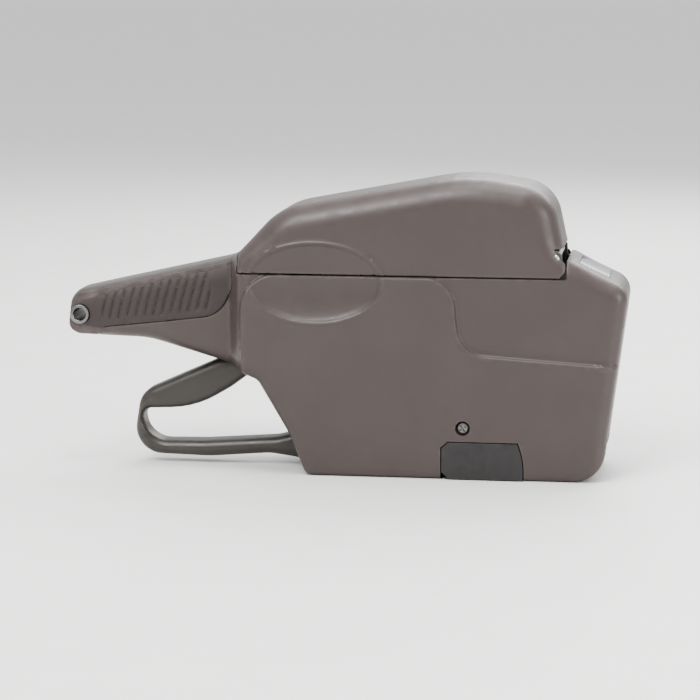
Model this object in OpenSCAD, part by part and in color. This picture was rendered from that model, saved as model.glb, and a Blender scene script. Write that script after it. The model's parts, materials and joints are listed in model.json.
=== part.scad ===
/* [Casing] */
// Half width of the wide lower body
body_half = 25; // [24.5:0.5:27]
// Half width of the roll cover and the stepped-in upper front
upper_half = 23.5; // [23.5:0.5:24]
// Half width of the handle
handle_half = 14; // [13:0.5:15]
// Wall thickness of the moulded shells
wall = 2.2; // [1.8:0.1:2.4]
// Height of the seam between casing and roll cover
seam_z = 80; // [80:0.5:81]
// Gap left along every parting line
gap = 0.3; // [0.2:0.1:0.5]

/* [Label roll] */
// Outer radius of a fresh label roll
roll_r = 31; // [16:1:32]
// Width of the labels
label_w = 22; // [18:1:22]

/* [Print head] */
// Number of type wheels on each printed line
wheel_n = 6; // [6:1:6]
// Pitch of the type wheels across the head
wheel_pitch = 3.4; // [3:0.1:3.4]
// Radius of a type wheel
wheel_r = 6.6; // [5.5:0.1:6.6]

/* [Rollers] */
// Radius of the applicator roller at the nose
applicator_r = 7; // [6:0.1:7]
// Radius of the ink roller
ink_r = 4; // [3.5:0.1:4]

/* [Hidden] */
$fn = 48;

// Pivots and axes, as [x, z]
A = [-14, 36];      // trigger pivot
B = [-26, 56];      // print yoke pivot
P = [4, 35];        // drive pin on the trigger
H = [22, 78];       // label roll centre
W1 = [76, 52];      // type wheels of line 1
W2 = [92, 52];      // type wheels of line 2
N1 = [80.6, 33.6];  // band nose of line 1
N2 = [88.0, 34.45];  // band nose of line 2
F = [56, 15];       // feed drum
PR = [56, 4.3];     // pressure roller
DH = [42, 3.2];     // bottom door hinge
AR = [95.5, 7.6];   // applicator roller
IP = [102, 40];     // ink carrier pivot
IR = [90.5, 27.5];  // ink roller
CH = [84.6, 88];    // roll cover hinge
LE = [-107.2, 61.4];// lanyard eye

// Side silhouette: each corner is [x, z, radius]
OUT = [[-13.5, 0, 3], [103.6, 0, 12.5], [113.4, 76, 8], [99, 82.6, 20], [88, 88.6, 7], [82.5, 114, 16],
  [50, 119.6, 70], [-25, 105.6, 26], [-43.5, 85.6, 16], [-112, 70.2, 8], [-114.2, 52.4, 5.5],
  [-80, 51.6, 40], [-42, 40.6, 14], [-33.5, 37.2, 5], [-20.3, 15, 22]];
// Wide lower panel, stepped out from the upper front
PANEL = [[-39.5, -5, 0], [125, -5, 0], [125, 45, 0], [47.5, 50, 12], [44.5, seam_z, 12], [-39.5, seam_z, 14]];
// Trigger loop, outside and finger opening
TRIG = [[-7, 44.5, 5], [-36, 46.5, 6], [-50.6, 43.6, 10], [-84.5, 28.5, 10], [-88.5, 3.4, 11], [-56, 2.6, 60],
  [-31, 4.6, 20], [-13.5, 2.2, 5], [-4, 30.6, 9], [8.2, 30.8, 4], [8.2, 39.2, 4], [-4, 40, 5]];
LOOP = [[-84, 21.8, 3.5], [-62, 22.6, 40], [-47, 31.5, 24], [-38, 38.2, 4], [-27, 37.4, 4], [-15.5, 15, 5],
  [-28, 11.4, 20], [-58, 9.2, 40], [-82, 8.8, 10]];

function unit(v) = v / norm(v);
function xz(p) = [p[0], p[1]];
// Rounds each corner of [x, z, r] points with an arc
function rp(L, n = 7) = [for (i = [0:len(L) - 1])
  let (p = xz(L[i]), q = xz(L[(i + len(L) - 1) % len(L)]), s = xz(L[(i + 1) % len(L)]), r = L[i][2],
       a = unit(q - p), b = unit(s - p), h = acos(a * b) / 2, om = 180 - 2 * h)
  each (r <= 0 || om < 0.5 ? [p] :
    let (c = p + unit(a + b) * r / sin(h), v = p + a * r / tan(h) - c, w = p + b * r / tan(h) - c)
    [for (k = [0:n]) c + (sin((1 - k / n) * om) * v + sin(k / n * om) * w) / sin(om)])];

// Outline of a belt stretched round two circles
function belt(w, R, n, r, m) = let (d = n - w, g = atan2(d[1], d[0]), f = acos((R - r) / norm(d)))
  concat([for (k = [0:m]) let (a = g + f + (360 - 2 * f) * k / m) w + R * [cos(a), sin(a)]],
         [for (k = [0:m]) let (a = g - f + 2 * f * k / m) n + r * [cos(a), sin(a)]]);

module ey(y0, y1) translate([0, y1, 0]) rotate([90, 0, 0]) linear_extrude(y1 - y0) children();
module rod(p, r, y0, y1) translate([p[0], y1, p[1]]) rotate([90, 0, 0]) cylinder(r = r, h = y1 - y0);
module at(p) translate([p[0], p[1]]) children();
module zone(x0, z0, x1, z1) translate([x0, z0]) square([x1 - x0, z1 - z0]);
module outline() polygon(rp(OUT));
module panel() polygon(rp(PANEL));
module ellipse2(cx, cz, a, b, n = 40) polygon([for (k = [0:n - 1]) [cx + a * cos(360 * k / n), cz + b * sin(360 * k / n)]]);

// ---- casing ----
module below_cover() difference() { outline(); zone(-41.5, seam_z, 88.8, 140); }
module wide2() intersection() { below_cover(); zone(-39.5, -5, 130, 140); }
module panel2() intersection() { wide2(); panel(); }
module grip_zone() polygon(rp([[-130, 40, 0], [-104, 40, 0], [-101, 56, 8], [-70, 59.5, 30], [-50, 62, 12], [-44, 74, 8], [-47, 100, 0], [-130, 100, 0]]));
module grip2() intersection() { outline(); grip_zone(); }
module door_notch(g) difference() { intersection() {
    zone(DH[0] - 1.3 - g, -2, 80, 15 + g);
    at(DH) circle(r = 31 + g, $fn = 96); }
  translate([DH[0] - 1.3 - g, 15 + g]) rotate(45) square(3, center = true); }

module slab(inset, y0, y1) ey(y0, y1) offset(delta = -inset) children();
module casing_half() difference() {
  union() {
    slab(0, 0.05, handle_half - 1.6) below_cover();
    slab(1.1, handle_half - 1.7, handle_half) below_cover();
    slab(0, 0.05, upper_half - 1.4) wide2();
    slab(1.1, upper_half - 1.5, upper_half) wide2();
    slab(0.4, upper_half - 1.5, body_half - 1) panel2();
    slab(1.3, body_half - 1.1, body_half) panel2();
  }
  // cavities
  ey(-1, handle_half - wall) offset(delta = -wall) outline();
  ey(-1, 21.3) offset(delta = -wall) intersection() { outline(); zone(-39.5, -5, 130, 140); }
  // trigger slot
  ey(-1, 7.4) polygon([[-74, 40], [-74, 53.5], [-40, 50], [-20, 40], [-6, -1], [-40, -1]]);
  // bottom door opening and side notch
  ey(-1, 30) door_notch(gap);
  ey(-1, 21.3) zone(38.6, -1, 76, 5);
  // nose opening for the applicator roller and the label
  ey(-1, 18.4) zone(86, -1, 120, 15.5);
  // recess for the sole plate
  ey(-1, 19.2) zone(-8.2, -1, 38.2, 1.7);
  // rubber grip seat
  difference() { ey(-1, 30) offset(delta = 0.1) grip2(); ey(-2, handle_half - 1.5) intersection() { offset(delta = -1.5) outline(); grip_zone(); } }
  // finger recess, lower half
  ey(body_half - 1.6, 30) ellipse2(-10, 77, 26, 15);
  // lanyard eye seat
  rod(LE, 4, -1, 30);
  // relief for the swinging roll cover
  ey(-1, 30) polygon([[88, 86.2], [91.6, 86.6], [91.6, 90], [88, 90]]);
  // reading window seat
  translate([99.5, 0, 82.9]) rotate([0, 24.6, 0]) translate([-6.6, -1, -5]) cube([13.2, 12.3, 10]);
}
module frame_screw_seats(L, w) for (p = L) { rod(p, 1.35, 18, 30); rod(p, 2.9, w, 30); }
// Short screws hold each casing to its side frame
FS = [[-30, 62], [-8, 12], [49.1, 20.6], [104, 66], [99.6, 24]];
FR = [[49.1, 20.6]];
HS = [[-92, 58.5], [-55, 60.5]];

module left_casing() color("#4a4344") difference() {
  union() {
    casing_half();
    for (p = HS) rod(p, 3.2, 0.05, handle_half - 1.6);
    for (p = FS) rod(p, 3.4, 21.05, upper_half - 0.6);
  }
  for (p = HS) { rod(p, 1.35, -1, 30); rod(p, 2.9, handle_half - 3, 30); }
  frame_screw_seats(FS, upper_half - 0.9);
  // window for the setting knobs
  ey(18, 30) polygon(rp([[66.5, 30.5, 5], [99.2, 30.5, 5], [101, 60.4, 5], [67.5, 60.4, 5]]));
}
module right_casing() color("#4a4344") mirror([0, 1, 0]) difference() {
  union() {
    casing_half();
    for (p = HS) rod(p, 3.2, 0.05, handle_half - 1.6);
    for (p = FR) rod(p, 3.4, 21.05, upper_half - 0.6);
  }
  for (p = HS) rod(p, 1.2, -1, 8);
  frame_screw_seats(FR, upper_half - 0.9);
}

// ---- inner frames ----
module frame2() difference() {
  polygon([[-36.5, 77], [-36.5, 42], [-31.6, 39.8], [-17.2, 15], [-11.4, 2.8], [90.5, 2.8], [96.4, 4.2], [100.6, 8], [102.3, 12.4],
    [110.1, 70.4], [108.8, 74], [106, 76.2], [99, 79], [91, 83.4], [87.2, 85.2], [87, 89.6], [84.8, 91.1], [82, 90.4], [80.4, 86], [76, 77], [37, 77], [30, 87], [14, 87], [7, 77]]);
  at(H) circle(r = 3.05);
  at(A) circle(r = 2.55); at(B) circle(r = 2.55); at(F) circle(r = 2.05); at(AR) circle(r = 2.05);
  at(DH) circle(r = 1.3); at(CH) circle(r = 1.55); at(IP) circle(r = 2.55);
  for (p = FS) at(p) circle(r = 1.2);
  polygon(rp([[20, 52, 6], [38, 40, 6], [30, 28, 6], [8, 46, 6]]));
}
module left_side_frame() color("#2c2b2a") difference() {
  ey(19, 21) frame2();
  ey(18, 22) polygon(rp([[66.5, 30.5, 5], [97.2, 30.5, 5], [95.6, 60.4, 5], [67.5, 60.4, 5]]));
}
module right_side_frame() color("#2c2b2a") ey(-21, -19) frame2();
module frame_spacers() color("#9a9c9e") for (p = [[-2, 9], [28, 12], [104, 74], [-31, 72.5]])
  rod(p, 2.5, -19, 19);
module screw(p, y0, y1, s) difference() {
  union() { rod(p, 1.2, min(y0, y1), max(y0, y1)); rod(p, 2.6, min(y1 - 1.5 * s, y1), max(y1 - 1.5 * s, y1)); }
  translate([p[0], y1, p[1]]) rotate([0, 45, 0]) { cube([3.2, 1.4, 0.7], center = true); cube([0.7, 1.4, 3.2], center = true); }
}
module left_screws() color("#8d8f92") for (p = FS) screw(p, 19, upper_half + 0.6, 1);
module right_screw() color("#8d8f92") for (p = FR) screw(p, -19, -upper_half - 0.6, -1);
module handle_screws() color("#8d8f92") for (p = HS) screw(p, -7.5, handle_half - 1.5, 1);

// ---- handle ----
module grip_half() difference() {
  union() { slab(0, 0.05, handle_half - 1.4) grip2(); slab(1.1, handle_half - 1.5, handle_half) grip2(); }
  ey(-1, handle_half - 1.4) offset(delta = -1.4) outline();
  rod(LE, 4.15, -1, 30);
  ey(-1, 7.4) zone(-74, 40, -40, 53.5);
}
module left_grip() color("#2b2a2b") difference() { grip_half(); for (p = HS) rod(p, 3.3, -1, 30); }
module right_grip() color("#2b2a2b") mirror([0, 1, 0]) grip_half();
module lanyard_bush() color("#8d8f92") difference() { rod(LE, 3.95, -handle_half - 0.4, handle_half + 0.4); rod(LE, 2.5, -30, 30); }
module foot_plate() color("#242424") difference() {
  ey(-19, 19) polygon([[-8, 0], [38, 0], [38, 1.5], [-8, 1.5]]);
  for (x = [-2:6:34]) translate([x, -15, -0.1]) cube([1.4, 30, 0.5]);
}
module reading_window() color([0.75, 0.82, 0.86, 0.5]) translate([99.5, 0, 82.9]) rotate([0, 24.6, 0]) translate([-6.4, -11, -2.6]) cube([12.8, 22, 2.4]);

// ---- pins ----
module trigger_pin() color("#b4b6b8") rod(A, 2.5, -21, 21);
module yoke_pin() color("#b4b6b8") rod(B, 2.5, -21, 21);
module cover_hinge_pin() color("#b4b6b8") rod(CH, 1.5, -22.9, 22.9);
module door_pin() color("#b4b6b8") rod(DH, 1.25, -21, 21);
module feed_axle() color("#b4b6b8") rod(F, 2, -21, 21);
module applicator_axle() color("#b4b6b8") rod(AR, 2, -21, 21);

// ---- label supply ----
module hub(s) { // turned disc with a stub that carries the roll core
  rod(H, 3, min(s * 16, s * 21), max(s * 16, s * 21));
  rod(H, 15, min(s * (label_w / 2 + 0.6), s * 13.4), max(s * (label_w / 2 + 0.6), s * 13.4));
  rod(H, 5, min(s * 13, s * 18.9), max(s * 13, s * 18.9));
  rod(H, 8.5, min(s * 6, s * 12.5), max(s * 6, s * 12.5));
}
module left_roll_hub() color("#3a3838") hub(1);
module right_roll_hub() color("#3a3838") hub(-1);
module label_roll() color("#efece4") difference() { rod(H, roll_r, -label_w / 2, label_w / 2); rod(H, 10.2, -20, 20); }
module roll_core() color("#b39a76") difference() { rod(H, 10.2, -label_w / 2, label_w / 2); rod(H, 8.55, -20, 20); }
module label_strip() color("#efece4") ey(-label_w / 2, label_w / 2) polygon([[27, 46.0], [66, 21.2], [70, 18.75], [92, 18.4], [93.6, 18.3], [93.6, 18.02], [70, 18.3], [65.8, 20.95], [26.9, 45.6]]);

// ---- platen and feed ----
module platen() color("#a8aaac") difference() { ey(-19, 19) polygon([[65, 15.2], [89.5, 15.2], [92.8, 17.1], [92.8, 17.6], [65, 17.6]]);
  translate([60, 10.2, 10]) cube([11, 4.2, 10]); }
module platen_pad() color("#1e1e1e") ey(-12, 12) polygon([[71, 17.6], [91.5, 17.6], [91.5, 18], [71, 18]]);
module feed_drum() color("#c9c4b4") difference() {
  union() {
    rod(F, 7.4, -10.9, 10.9);
    for (k = [0:7], y = [-6, 6]) translate([F[0], y, F[1]]) rotate([0, 45 * k, 0]) translate([0, 0, 6.5]) cylinder(r1 = 0.9, r2 = 0.5, h = 1.9, $fn = 24);
  }
  rod(F, 2.05, -20, 20);
}
module ratchet_wheel() color("#3a3838") difference() {
  ey(10.9, 13.2) polygon([for (k = [0:15]) let (a = 360 * k / 16) each [F + 6.9 * [cos(a), sin(a)], F + 5.7 * [cos(a + 3), sin(a + 3)]]]);
  rod(F, 2.05, -20, 20);
}
module check_pawl() color("#b4b6b8") union() {
  ey(10.9, 13.2) polygon([[48.4, 20.4], [48.9, 20.4], [48.9, 12.2], [49.0, 10.6], [48.5, 10.6], [48.4, 12.2]]);
  ey(10.9, 19) zone(46.6, 19.8, 48.9, 22.4);
}
module feed_pawl() color("#b4b6b8") difference() {
  union() { ey(11.5, 13) polygon(rp([[61.5, 37.5, 1.5], [66.5, 37.5, 1.5], [70.6, 30, 1.5], [70.2, 24, 0.6], [67.2, 21.6, 0], [68.3, 25.4, 1], [67.6, 29, 1], [62, 32.5, 1.5]])); rod([64, 35], 3, 11.5, 13.6); }
  rod([64, 35], 1.3, 10, 15);
}
module applicator_roller() color("#2b2a2b") difference() { rod(AR, applicator_r, -17.6, 17.6); rod(AR, 2.05, -30, 30); }

// ---- trigger ----
module trigger_lever() color("#343231") difference() {
  union() {
    ey(-6.4, 6.4) difference() { polygon(rp(TRIG)); polygon(rp(LOOP)); }
    rod(A, 6.5, -9, 9);
  }
  rod(A, 2.55, -30, 30);
  rod(P, 2, -30, 30);
}
module drive_pin() color("#b4b6b8") rod(P, 2, -16.6, 16.6);
function coil(c, r, w, y0, y1, t, m = 14, s = 8) = let (n = round(t * m)) [for (i = [0:n]) let (a = 360 * t * i / n, y = y0 + (y1 - y0) * i / n)
  [for (k = [0:s - 1]) let (b = 360 * k / s, q = r + w * cos(b)) [c[0] + q * cos(a), y + w * sin(b), c[1] + q * sin(a)]]];
module spring(c, r, w, y0, y1, t) { R = coil(c, r, w, y0, y1, t); s = len(R[0]); n = len(R);
  polyhedron([for (q = R) each q],
    concat([[for (k = [0:s - 1]) k]], [[for (k = [s - 1:-1:0]) (n - 1) * s + k]],
      [for (i = [0:n - 2], k = [0:s - 1]) each [[i * s + k, (i + 1) * s + k, i * s + (k + 1) % s], [(i + 1) * s + k, (i + 1) * s + (k + 1) % s, i * s + (k + 1) % s]]])); }
module trigger_spring() color("#b4b6b8") spring(A, 4.6, 0.6, 10, 13.2, 2.25);
module ink_arm_spring() color("#b4b6b8") mirror([0, 1, 0]) spring(IP, 3.7, 0.25, 18.5, 18.7, 0.85);

// ---- print head ----
module yoke2() difference() {
  polygon(rp([[-32.5, 60, 5], [-21, 63.5, 5], [-2, 50, 12], [34, 41, 16], [64, 46, 8], [67, 61.5, 4], [99, 61.5, 4], [98, 41.5, 5],
    [72, 37.5, 6], [48, 32, 8], [14, 28, 8], [-3, 28.5, 3], [-6, 38, 4], [-20, 47.5, 6], [-32.5, 49, 5]]));
  at(B) circle(r = 2.56);
  polygon(belt(P + [-0.3, 0.2], 2.3, P + [2.2, -1.6], 2.3, 10));
  at(W1) circle(r = 2.1); at(W2) circle(r = 2.1);
  polygon(rp([[24, 38.5, 3], [46, 37.5, 3], [58, 41, 1], [60, 38.2, 0.7], [46, 34.6, 3], [22, 32.6, 1.5]]));
}
module head_yoke() color("#3d3b3a") {
  difference() { union() { ey(14, 15.6) yoke2(); ey(-15.6, -14) yoke2(); rod(B, 5.2, -14.1, 14.1); } rod(B, 2.56, -30, 30); }
  rod([64, 35], 1.2, 11.5, 14.1);
}
module head_block() color("#c9c4b4") difference() {
  union() {
    for (s = [-1, 1]) ey(min(s * 11.3, s * 13.9), max(s * 11.3, s * 13.9)) polygon(rp([[68.5, 61, 3], [99, 61, 3], [99, 45, 4], [91.2, 32.6, 1.5], [77.4, 31.8, 1.5], [68.5, 45, 4]]));
    ey(-11.4, 11.4) zone(83.6, 38, 84.4, 60.6);
    ey(-11.4, 11.4) zone(82.4, 59.6, 85.6, 60.6);
    for (n = [N1, N2]) rod(n, 1.7, -11.4, 11.4);
  }
  rod(W1, 2.08, -30, 30); rod(W2, 2.08, -30, 30);
}
module band2(w, n) difference() { polygon(belt(w, wheel_r + 0.75, n, 2.75, 16)); polygon(belt(w, wheel_r + 0.06, n, 1.8, 16)); }
module bands(w, n) for (i = [0:wheel_n - 1]) let (y = (i - (wheel_n - 1) / 2) * wheel_pitch) ey(y - 1.45, y + 1.45) band2(w, n);
module line_1_bands() color("#2b2a2b") bands(W1, N1);
module line_2_bands() color("#2b2a2b") bands(W2, N2);
module wheel(w, i) difference() { rod(w, wheel_r, (i - (wheel_n + 1) / 2) * wheel_pitch - 1.5, (i - (wheel_n + 1) / 2) * wheel_pitch + 1.5); rod(w, 2.05, -30, 30);
  for (k = [0:7]) rod(w + 4.4 * [cos(45 * k), sin(45 * k)], 0.8, -30, 30); }
module line_1_wheel_1() color("#d9d5c8") wheel(W1, 1);
module line_1_wheel_2() color("#d9d5c8") wheel(W1, 2);
module line_1_wheel_3() color("#d9d5c8") wheel(W1, 3);
module line_1_wheel_4() color("#d9d5c8") wheel(W1, 4);
module line_1_wheel_5() color("#d9d5c8") wheel(W1, 5);
module line_1_wheel_6() color("#d9d5c8") wheel(W1, 6);
module line_2_wheel_1() color("#d9d5c8") wheel(W2, 1);
module line_2_wheel_2() color("#d9d5c8") wheel(W2, 2);
module line_2_wheel_3() color("#d9d5c8") wheel(W2, 3);
module line_2_wheel_4() color("#d9d5c8") wheel(W2, 4);
module line_2_wheel_5() color("#d9d5c8") wheel(W2, 5);
module line_2_wheel_6() color("#d9d5c8") wheel(W2, 6);
module line_1_shaft() color("#b4b6b8") rod(W1, 2, -15.8, 27);
module line_2_shaft() color("#b4b6b8") rod(W2, 2, -15.8, 27);
module knob(w) difference() {
  union() { rod(w, 6.2, 22.4, 30); rod(w, 7, 22.4, 24.2);
    for (k = [0:15]) rod(w + 6 * [cos(22.5 * k), sin(22.5 * k)], 0.75, 24, 29.4); }
  rod(w, 2.03, 20, 27.2);
}
module line_1_knob() color("#2b2a2b") knob(W1);
module line_2_knob() color("#2b2a2b") knob(W2);

// ---- ink ----
module ink_arm2() polygon(belt(IP, 3.9, IR, 3, 10));
module ink_carrier() color("#3a3838") difference() {
  union() {
    for (s = [-1, 1]) ey(min(s * 16.2, s * 18.2), max(s * 16.2, s * 18.2)) ink_arm2();
    for (s = [-1, 1]) rod(IP, 2.5, min(s * 16.2, s * 20.9), max(s * 16.2, s * 20.9));
    rod(IR, 1.5, -16.3, 16.3);
  }
}
module ink_roller() color("#232a4a") difference() { rod(IR, ink_r, -12.6, 12.6); rod(IR, 1.55, -30, 30); }

// ---- bottom door ----
module bottom_door() color("#242424") difference() {
  union() {
    ey(-23.4, 23.4) polygon([[41.5, 0.3], [72.6, 0.3], [72.6, 2], [41.5, 2]]);
    for (s = [-1, 1]) ey(min(s * 23, s * (body_half - 0.1)), max(s * 23, s * (body_half - 0.1))) intersection() { door_notch(0); zone(0, 0.3, 90, 30); }
    for (s = [-1, 1]) ey(min(s * 15.6, s * 18.4), max(s * 15.6, s * 18.4)) polygon(belt(DH, 2.3, [48, 1.3], 0.6, 10));
    for (s = [-1, 1]) ey(min(s * 13.4, s * 15), max(s * 13.4, s * 15)) polygon([[52.5, 1.8], [59.5, 1.8], [58, 5.6], [54, 5.6]]);
  }
  rod(DH, 1.3, -21.6, 21.6);
  rod(PR, 1.05, -30, 30);
  ey(-30, 30) polygon([[40, 3.4], [40, -1], [45.5, -1]]);
}
module pressure_roller() color("#2b2a2b") union() { rod(PR, 1.95, -13.2, 13.2); rod(PR, 1, -15, 15); }

// ---- roll cover ----
module cover2(z0) intersection() { outline(); zone(-41.2, z0, 88.5, 140); }
module roll_cover() color("#4a4344") difference() {
  union() { slab(0, -upper_half + 1.4, upper_half - 1.4) cover2(seam_z + gap);
    for (s = [-1, 1]) ey(min(s * (upper_half - 1.5), s * upper_half), max(s * (upper_half - 1.5), s * upper_half)) intersection() { offset(delta = -1.1) cover2(60); zone(-60, seam_z + gap, 100, 140); } }
  ey(-21.3, 21.3) offset(delta = -wall) cover2(60);
  ey(-21.3, 21.3) zone(79, 70, 100, 91.6);
  ey(-30, 30) polygon([[86.6, 80], [90, 80], [90, 83.4]]);
  for (s = [-1, 1]) ey(min(s * (upper_half - 0.8), s * 30), max(s * (upper_half - 0.8), s * 30)) ellipse2(-10, 77, 26, 15);
  rod(CH, 1.55, -30, 30);
}

left_casing();
right_casing();
left_side_frame();
right_side_frame();
frame_spacers();
left_screws();
right_screw();
handle_screws();
left_grip();
right_grip();
lanyard_bush();
foot_plate();
reading_window();
trigger_pin();
yoke_pin();
cover_hinge_pin();
door_pin();
left_roll_hub();
right_roll_hub();
platen();
platen_pad();
feed_axle();
applicator_axle();
check_pawl();
label_strip();
trigger_spring();
ink_arm_spring();
trigger_lever();
drive_pin();
head_yoke();
head_block();
line_1_bands();
line_2_bands();
line_1_shaft();
line_2_shaft();
line_1_knob();
line_2_knob();
line_1_wheel_1();
line_1_wheel_2();
line_1_wheel_3();
line_1_wheel_4();
line_1_wheel_5();
line_1_wheel_6();
line_2_wheel_1();
line_2_wheel_2();
line_2_wheel_3();
line_2_wheel_4();
line_2_wheel_5();
line_2_wheel_6();
feed_pawl();
feed_drum();
ratchet_wheel();
ink_carrier();
ink_roller();
applicator_roller();
bottom_door();
pressure_roller();
label_roll();
roll_core();
roll_cover();
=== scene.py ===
import bpy, bmesh, json, math, random
import numpy as np
from mathutils import Vector, Matrix
from mathutils.geometry import delaunay_2d_cdt


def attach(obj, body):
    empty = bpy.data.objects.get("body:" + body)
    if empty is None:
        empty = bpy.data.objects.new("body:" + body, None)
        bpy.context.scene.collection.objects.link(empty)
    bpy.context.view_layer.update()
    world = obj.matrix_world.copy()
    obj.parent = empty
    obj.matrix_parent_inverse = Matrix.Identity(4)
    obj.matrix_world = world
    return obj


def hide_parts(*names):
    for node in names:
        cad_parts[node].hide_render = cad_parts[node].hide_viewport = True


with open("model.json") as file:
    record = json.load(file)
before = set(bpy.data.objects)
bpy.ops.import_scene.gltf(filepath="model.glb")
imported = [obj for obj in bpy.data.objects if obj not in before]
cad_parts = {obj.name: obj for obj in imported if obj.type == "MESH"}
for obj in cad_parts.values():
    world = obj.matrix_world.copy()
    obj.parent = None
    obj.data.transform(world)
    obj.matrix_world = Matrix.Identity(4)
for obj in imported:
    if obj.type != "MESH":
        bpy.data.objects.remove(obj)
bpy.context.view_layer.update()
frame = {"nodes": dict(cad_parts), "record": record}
R = random.Random(7)
MM = 0.001

# ------------------------------------------------------------------ 2D design, mm, (x, z)
A, B, P, H = (-14, 36), (-26, 56), (4, 35), (22, 78)
W1, W2, N1, N2 = (76, 52), (92, 52), (80.6, 33.6), (88.0, 34.45)
F, PR, DH, AR = (56, 15), (56, 4.3), (42, 3.2), (95.5, 7.6)
IP, IR, CH, LE = (102, 40), (90.5, 27.5), (84.6, 88), (-107.2, 61.4)
SEAM = 80.0
OUT = [(-13.5, 0, 3), (103.6, 0, 12.5), (113.4, 76, 8), (99, 82.6, 20), (88, 88.6, 7), (82.5, 114, 16),
       (50, 119.6, 70), (-25, 105.6, 26), (-43.5, 85.6, 16), (-112, 70.2, 8), (-114.2, 52.4, 5.5),
       (-80, 51.6, 40), (-42, 40.6, 14), (-33.5, 37.2, 5), (-20.3, 15, 22)]
PANEL = [(-39.5, -5, 0), (125, -5, 0), (125, 45, 0), (47.5, 50, 12), (44.5, SEAM, 12), (-39.5, SEAM, 14)]
TRIG = [(-7, 44.5, 5), (-36, 46.5, 6), (-50.6, 43.6, 10), (-84.5, 28.5, 10), (-88.5, 3.4, 11), (-56, 2.6, 60),
        (-31, 4.6, 20), (-13.5, 2.2, 5), (-4, 30.6, 9), (8.2, 30.8, 4), (8.2, 39.2, 4), (-4, 40, 5)]
LOOP = [(-84, 21.8, 3.5), (-62, 22.6, 40), (-47, 31.5, 24), (-38, 38.2, 4), (-27, 37.4, 4), (-15.5, 15, 5),
        (-28, 11.4, 20), (-58, 9.2, 40), (-82, 8.8, 10)]
GRIP = [(-130, 40, 0), (-104, 40, 0), (-101, 56, 8), (-70, 59.5, 30), (-50, 62, 12), (-44, 74, 8), (-47, 100, 0), (-130, 100, 0)]


def rp(L, n=14):
    """Corners (x, z, r) rounded into a point list."""
    out = []
    for i in range(len(L)):
        p, q, s = (np.array(L[k % len(L)][:2], float) for k in (i, i - 1, i + 1))
        r = L[i][2]
        a, b = (q - p) / np.linalg.norm(q - p), (s - p) / np.linalg.norm(s - p)
        h = math.acos(max(-1, min(1, float(a @ b)))) / 2
        om = math.pi - 2 * h
        if r <= 0 or om < 0.01:
            out.append(tuple(p)); continue
        c = p + (a + b) / np.linalg.norm(a + b) * r / math.sin(h)
        v, w = p + a * r / math.tan(h) - c, p + b * r / math.tan(h) - c
        m = max(3, int(n * om / 1.2))
        for k in range(m + 1):
            t = k / m
            out.append(tuple(c + (math.sin((1 - t) * om) * v + math.sin(t * om) * w) / math.sin(om)))
    return out


def dense(loop, step):
    out = []
    for i, p in enumerate(loop):
        q = loop[(i + 1) % len(loop)]
        m = max(1, int(math.ceil(math.dist(p, q) / step)))
        out += [(p[0] + (q[0] - p[0]) * k / m, p[1] + (q[1] - p[1]) * k / m) for k in range(m)]
    return out


def area(loop):
    return 0.5 * sum(loop[i - 1][0] * loop[i][1] - loop[i][0] * loop[i - 1][1] for i in range(len(loop)))


class Poly:
    """Signed distance (positive inside) and inside test against closed loops, vectorised."""
    def __init__(self, *loops):
        self.a = np.array([p for L in loops for p in L], float)
        self.b = np.array([L[(i + 1) % len(L)] for L in loops for i in range(len(L))], float)

    def dist(self, pts):
        pts = np.asarray(pts, float)
        out = np.empty(len(pts))
        ab = self.b - self.a
        l2 = (ab ** 2).sum(1) + 1e-12
        for i in range(0, len(pts), 2000):
            p = pts[i:i + 2000, None, :]
            t = np.clip(((p - self.a) * ab).sum(2) / l2, 0, 1)
            d = np.linalg.norm(p - (self.a + t[..., None] * ab), axis=2)
            out[i:i + 2000] = d.min(1)
        return out

    def inside(self, pts):
        pts = np.asarray(pts, float)
        out = np.zeros(len(pts), bool)
        a, b = self.a, self.b
        for i in range(0, len(pts), 2000):
            x, z = pts[i:i + 2000, 0, None], pts[i:i + 2000, 1, None]
            c = (a[:, 1] > z) != (b[:, 1] > z)
            with np.errstate(divide="ignore", invalid="ignore"):
                xi = a[:, 0] + (z - a[:, 1]) * (b[:, 0] - a[:, 0]) / (b[:, 1] - a[:, 1])
            out[i:i + 2000] = (c & (x < xi)).sum(1) % 2 == 1
        return out

    def sd(self, pts):
        d = self.dist(pts)
        return np.where(self.inside(pts), d, -d)


def regions(keep, *loops):
    """Boundary loops of the plane pieces for which keep(centroids) holds. Loops are cut against each other."""
    verts, edges = [], []
    for L in loops:
        n0 = len(verts)
        verts += [Vector(p) for p in L]
        edges += [(n0 + i, n0 + (i + 1) % len(L)) for i in range(len(L))]
    v, e, f, _, _, _ = delaunay_2d_cdt(verts, edges, [], 0, 1e-5)
    v = [tuple(p) for p in v]
    cen = np.array([[sum(v[i][0] for i in t) / 3, sum(v[i][1] for i in t) / 3] for t in f])
    ok = keep(cen)
    he = {}
    for t, k in zip(f, ok):
        if k:
            if area([v[i] for i in t]) < 0:
                t = t[::-1]
            for i in range(3):
                he[(t[i], t[(i + 1) % 3])] = 1
    nxt = {a: b for (a, b) in he if (b, a) not in he}
    loops_out = []
    while nxt:
        s, cur = next(iter(nxt.items()))
        L = [s]
        del nxt[s]
        while cur != s and cur in nxt:
            L.append(cur)
            cur = nxt.pop(cur)
        if len(L) > 2:
            loops_out.append([v[i] for i in L])
    loops_out.sort(key=lambda L: -abs(area(L)))
    return loops_out


def clean(loop, tol=0.02):
    out = [p for i, p in enumerate(loop) if math.dist(p, loop[i - 1]) > tol]
    return out


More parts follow.
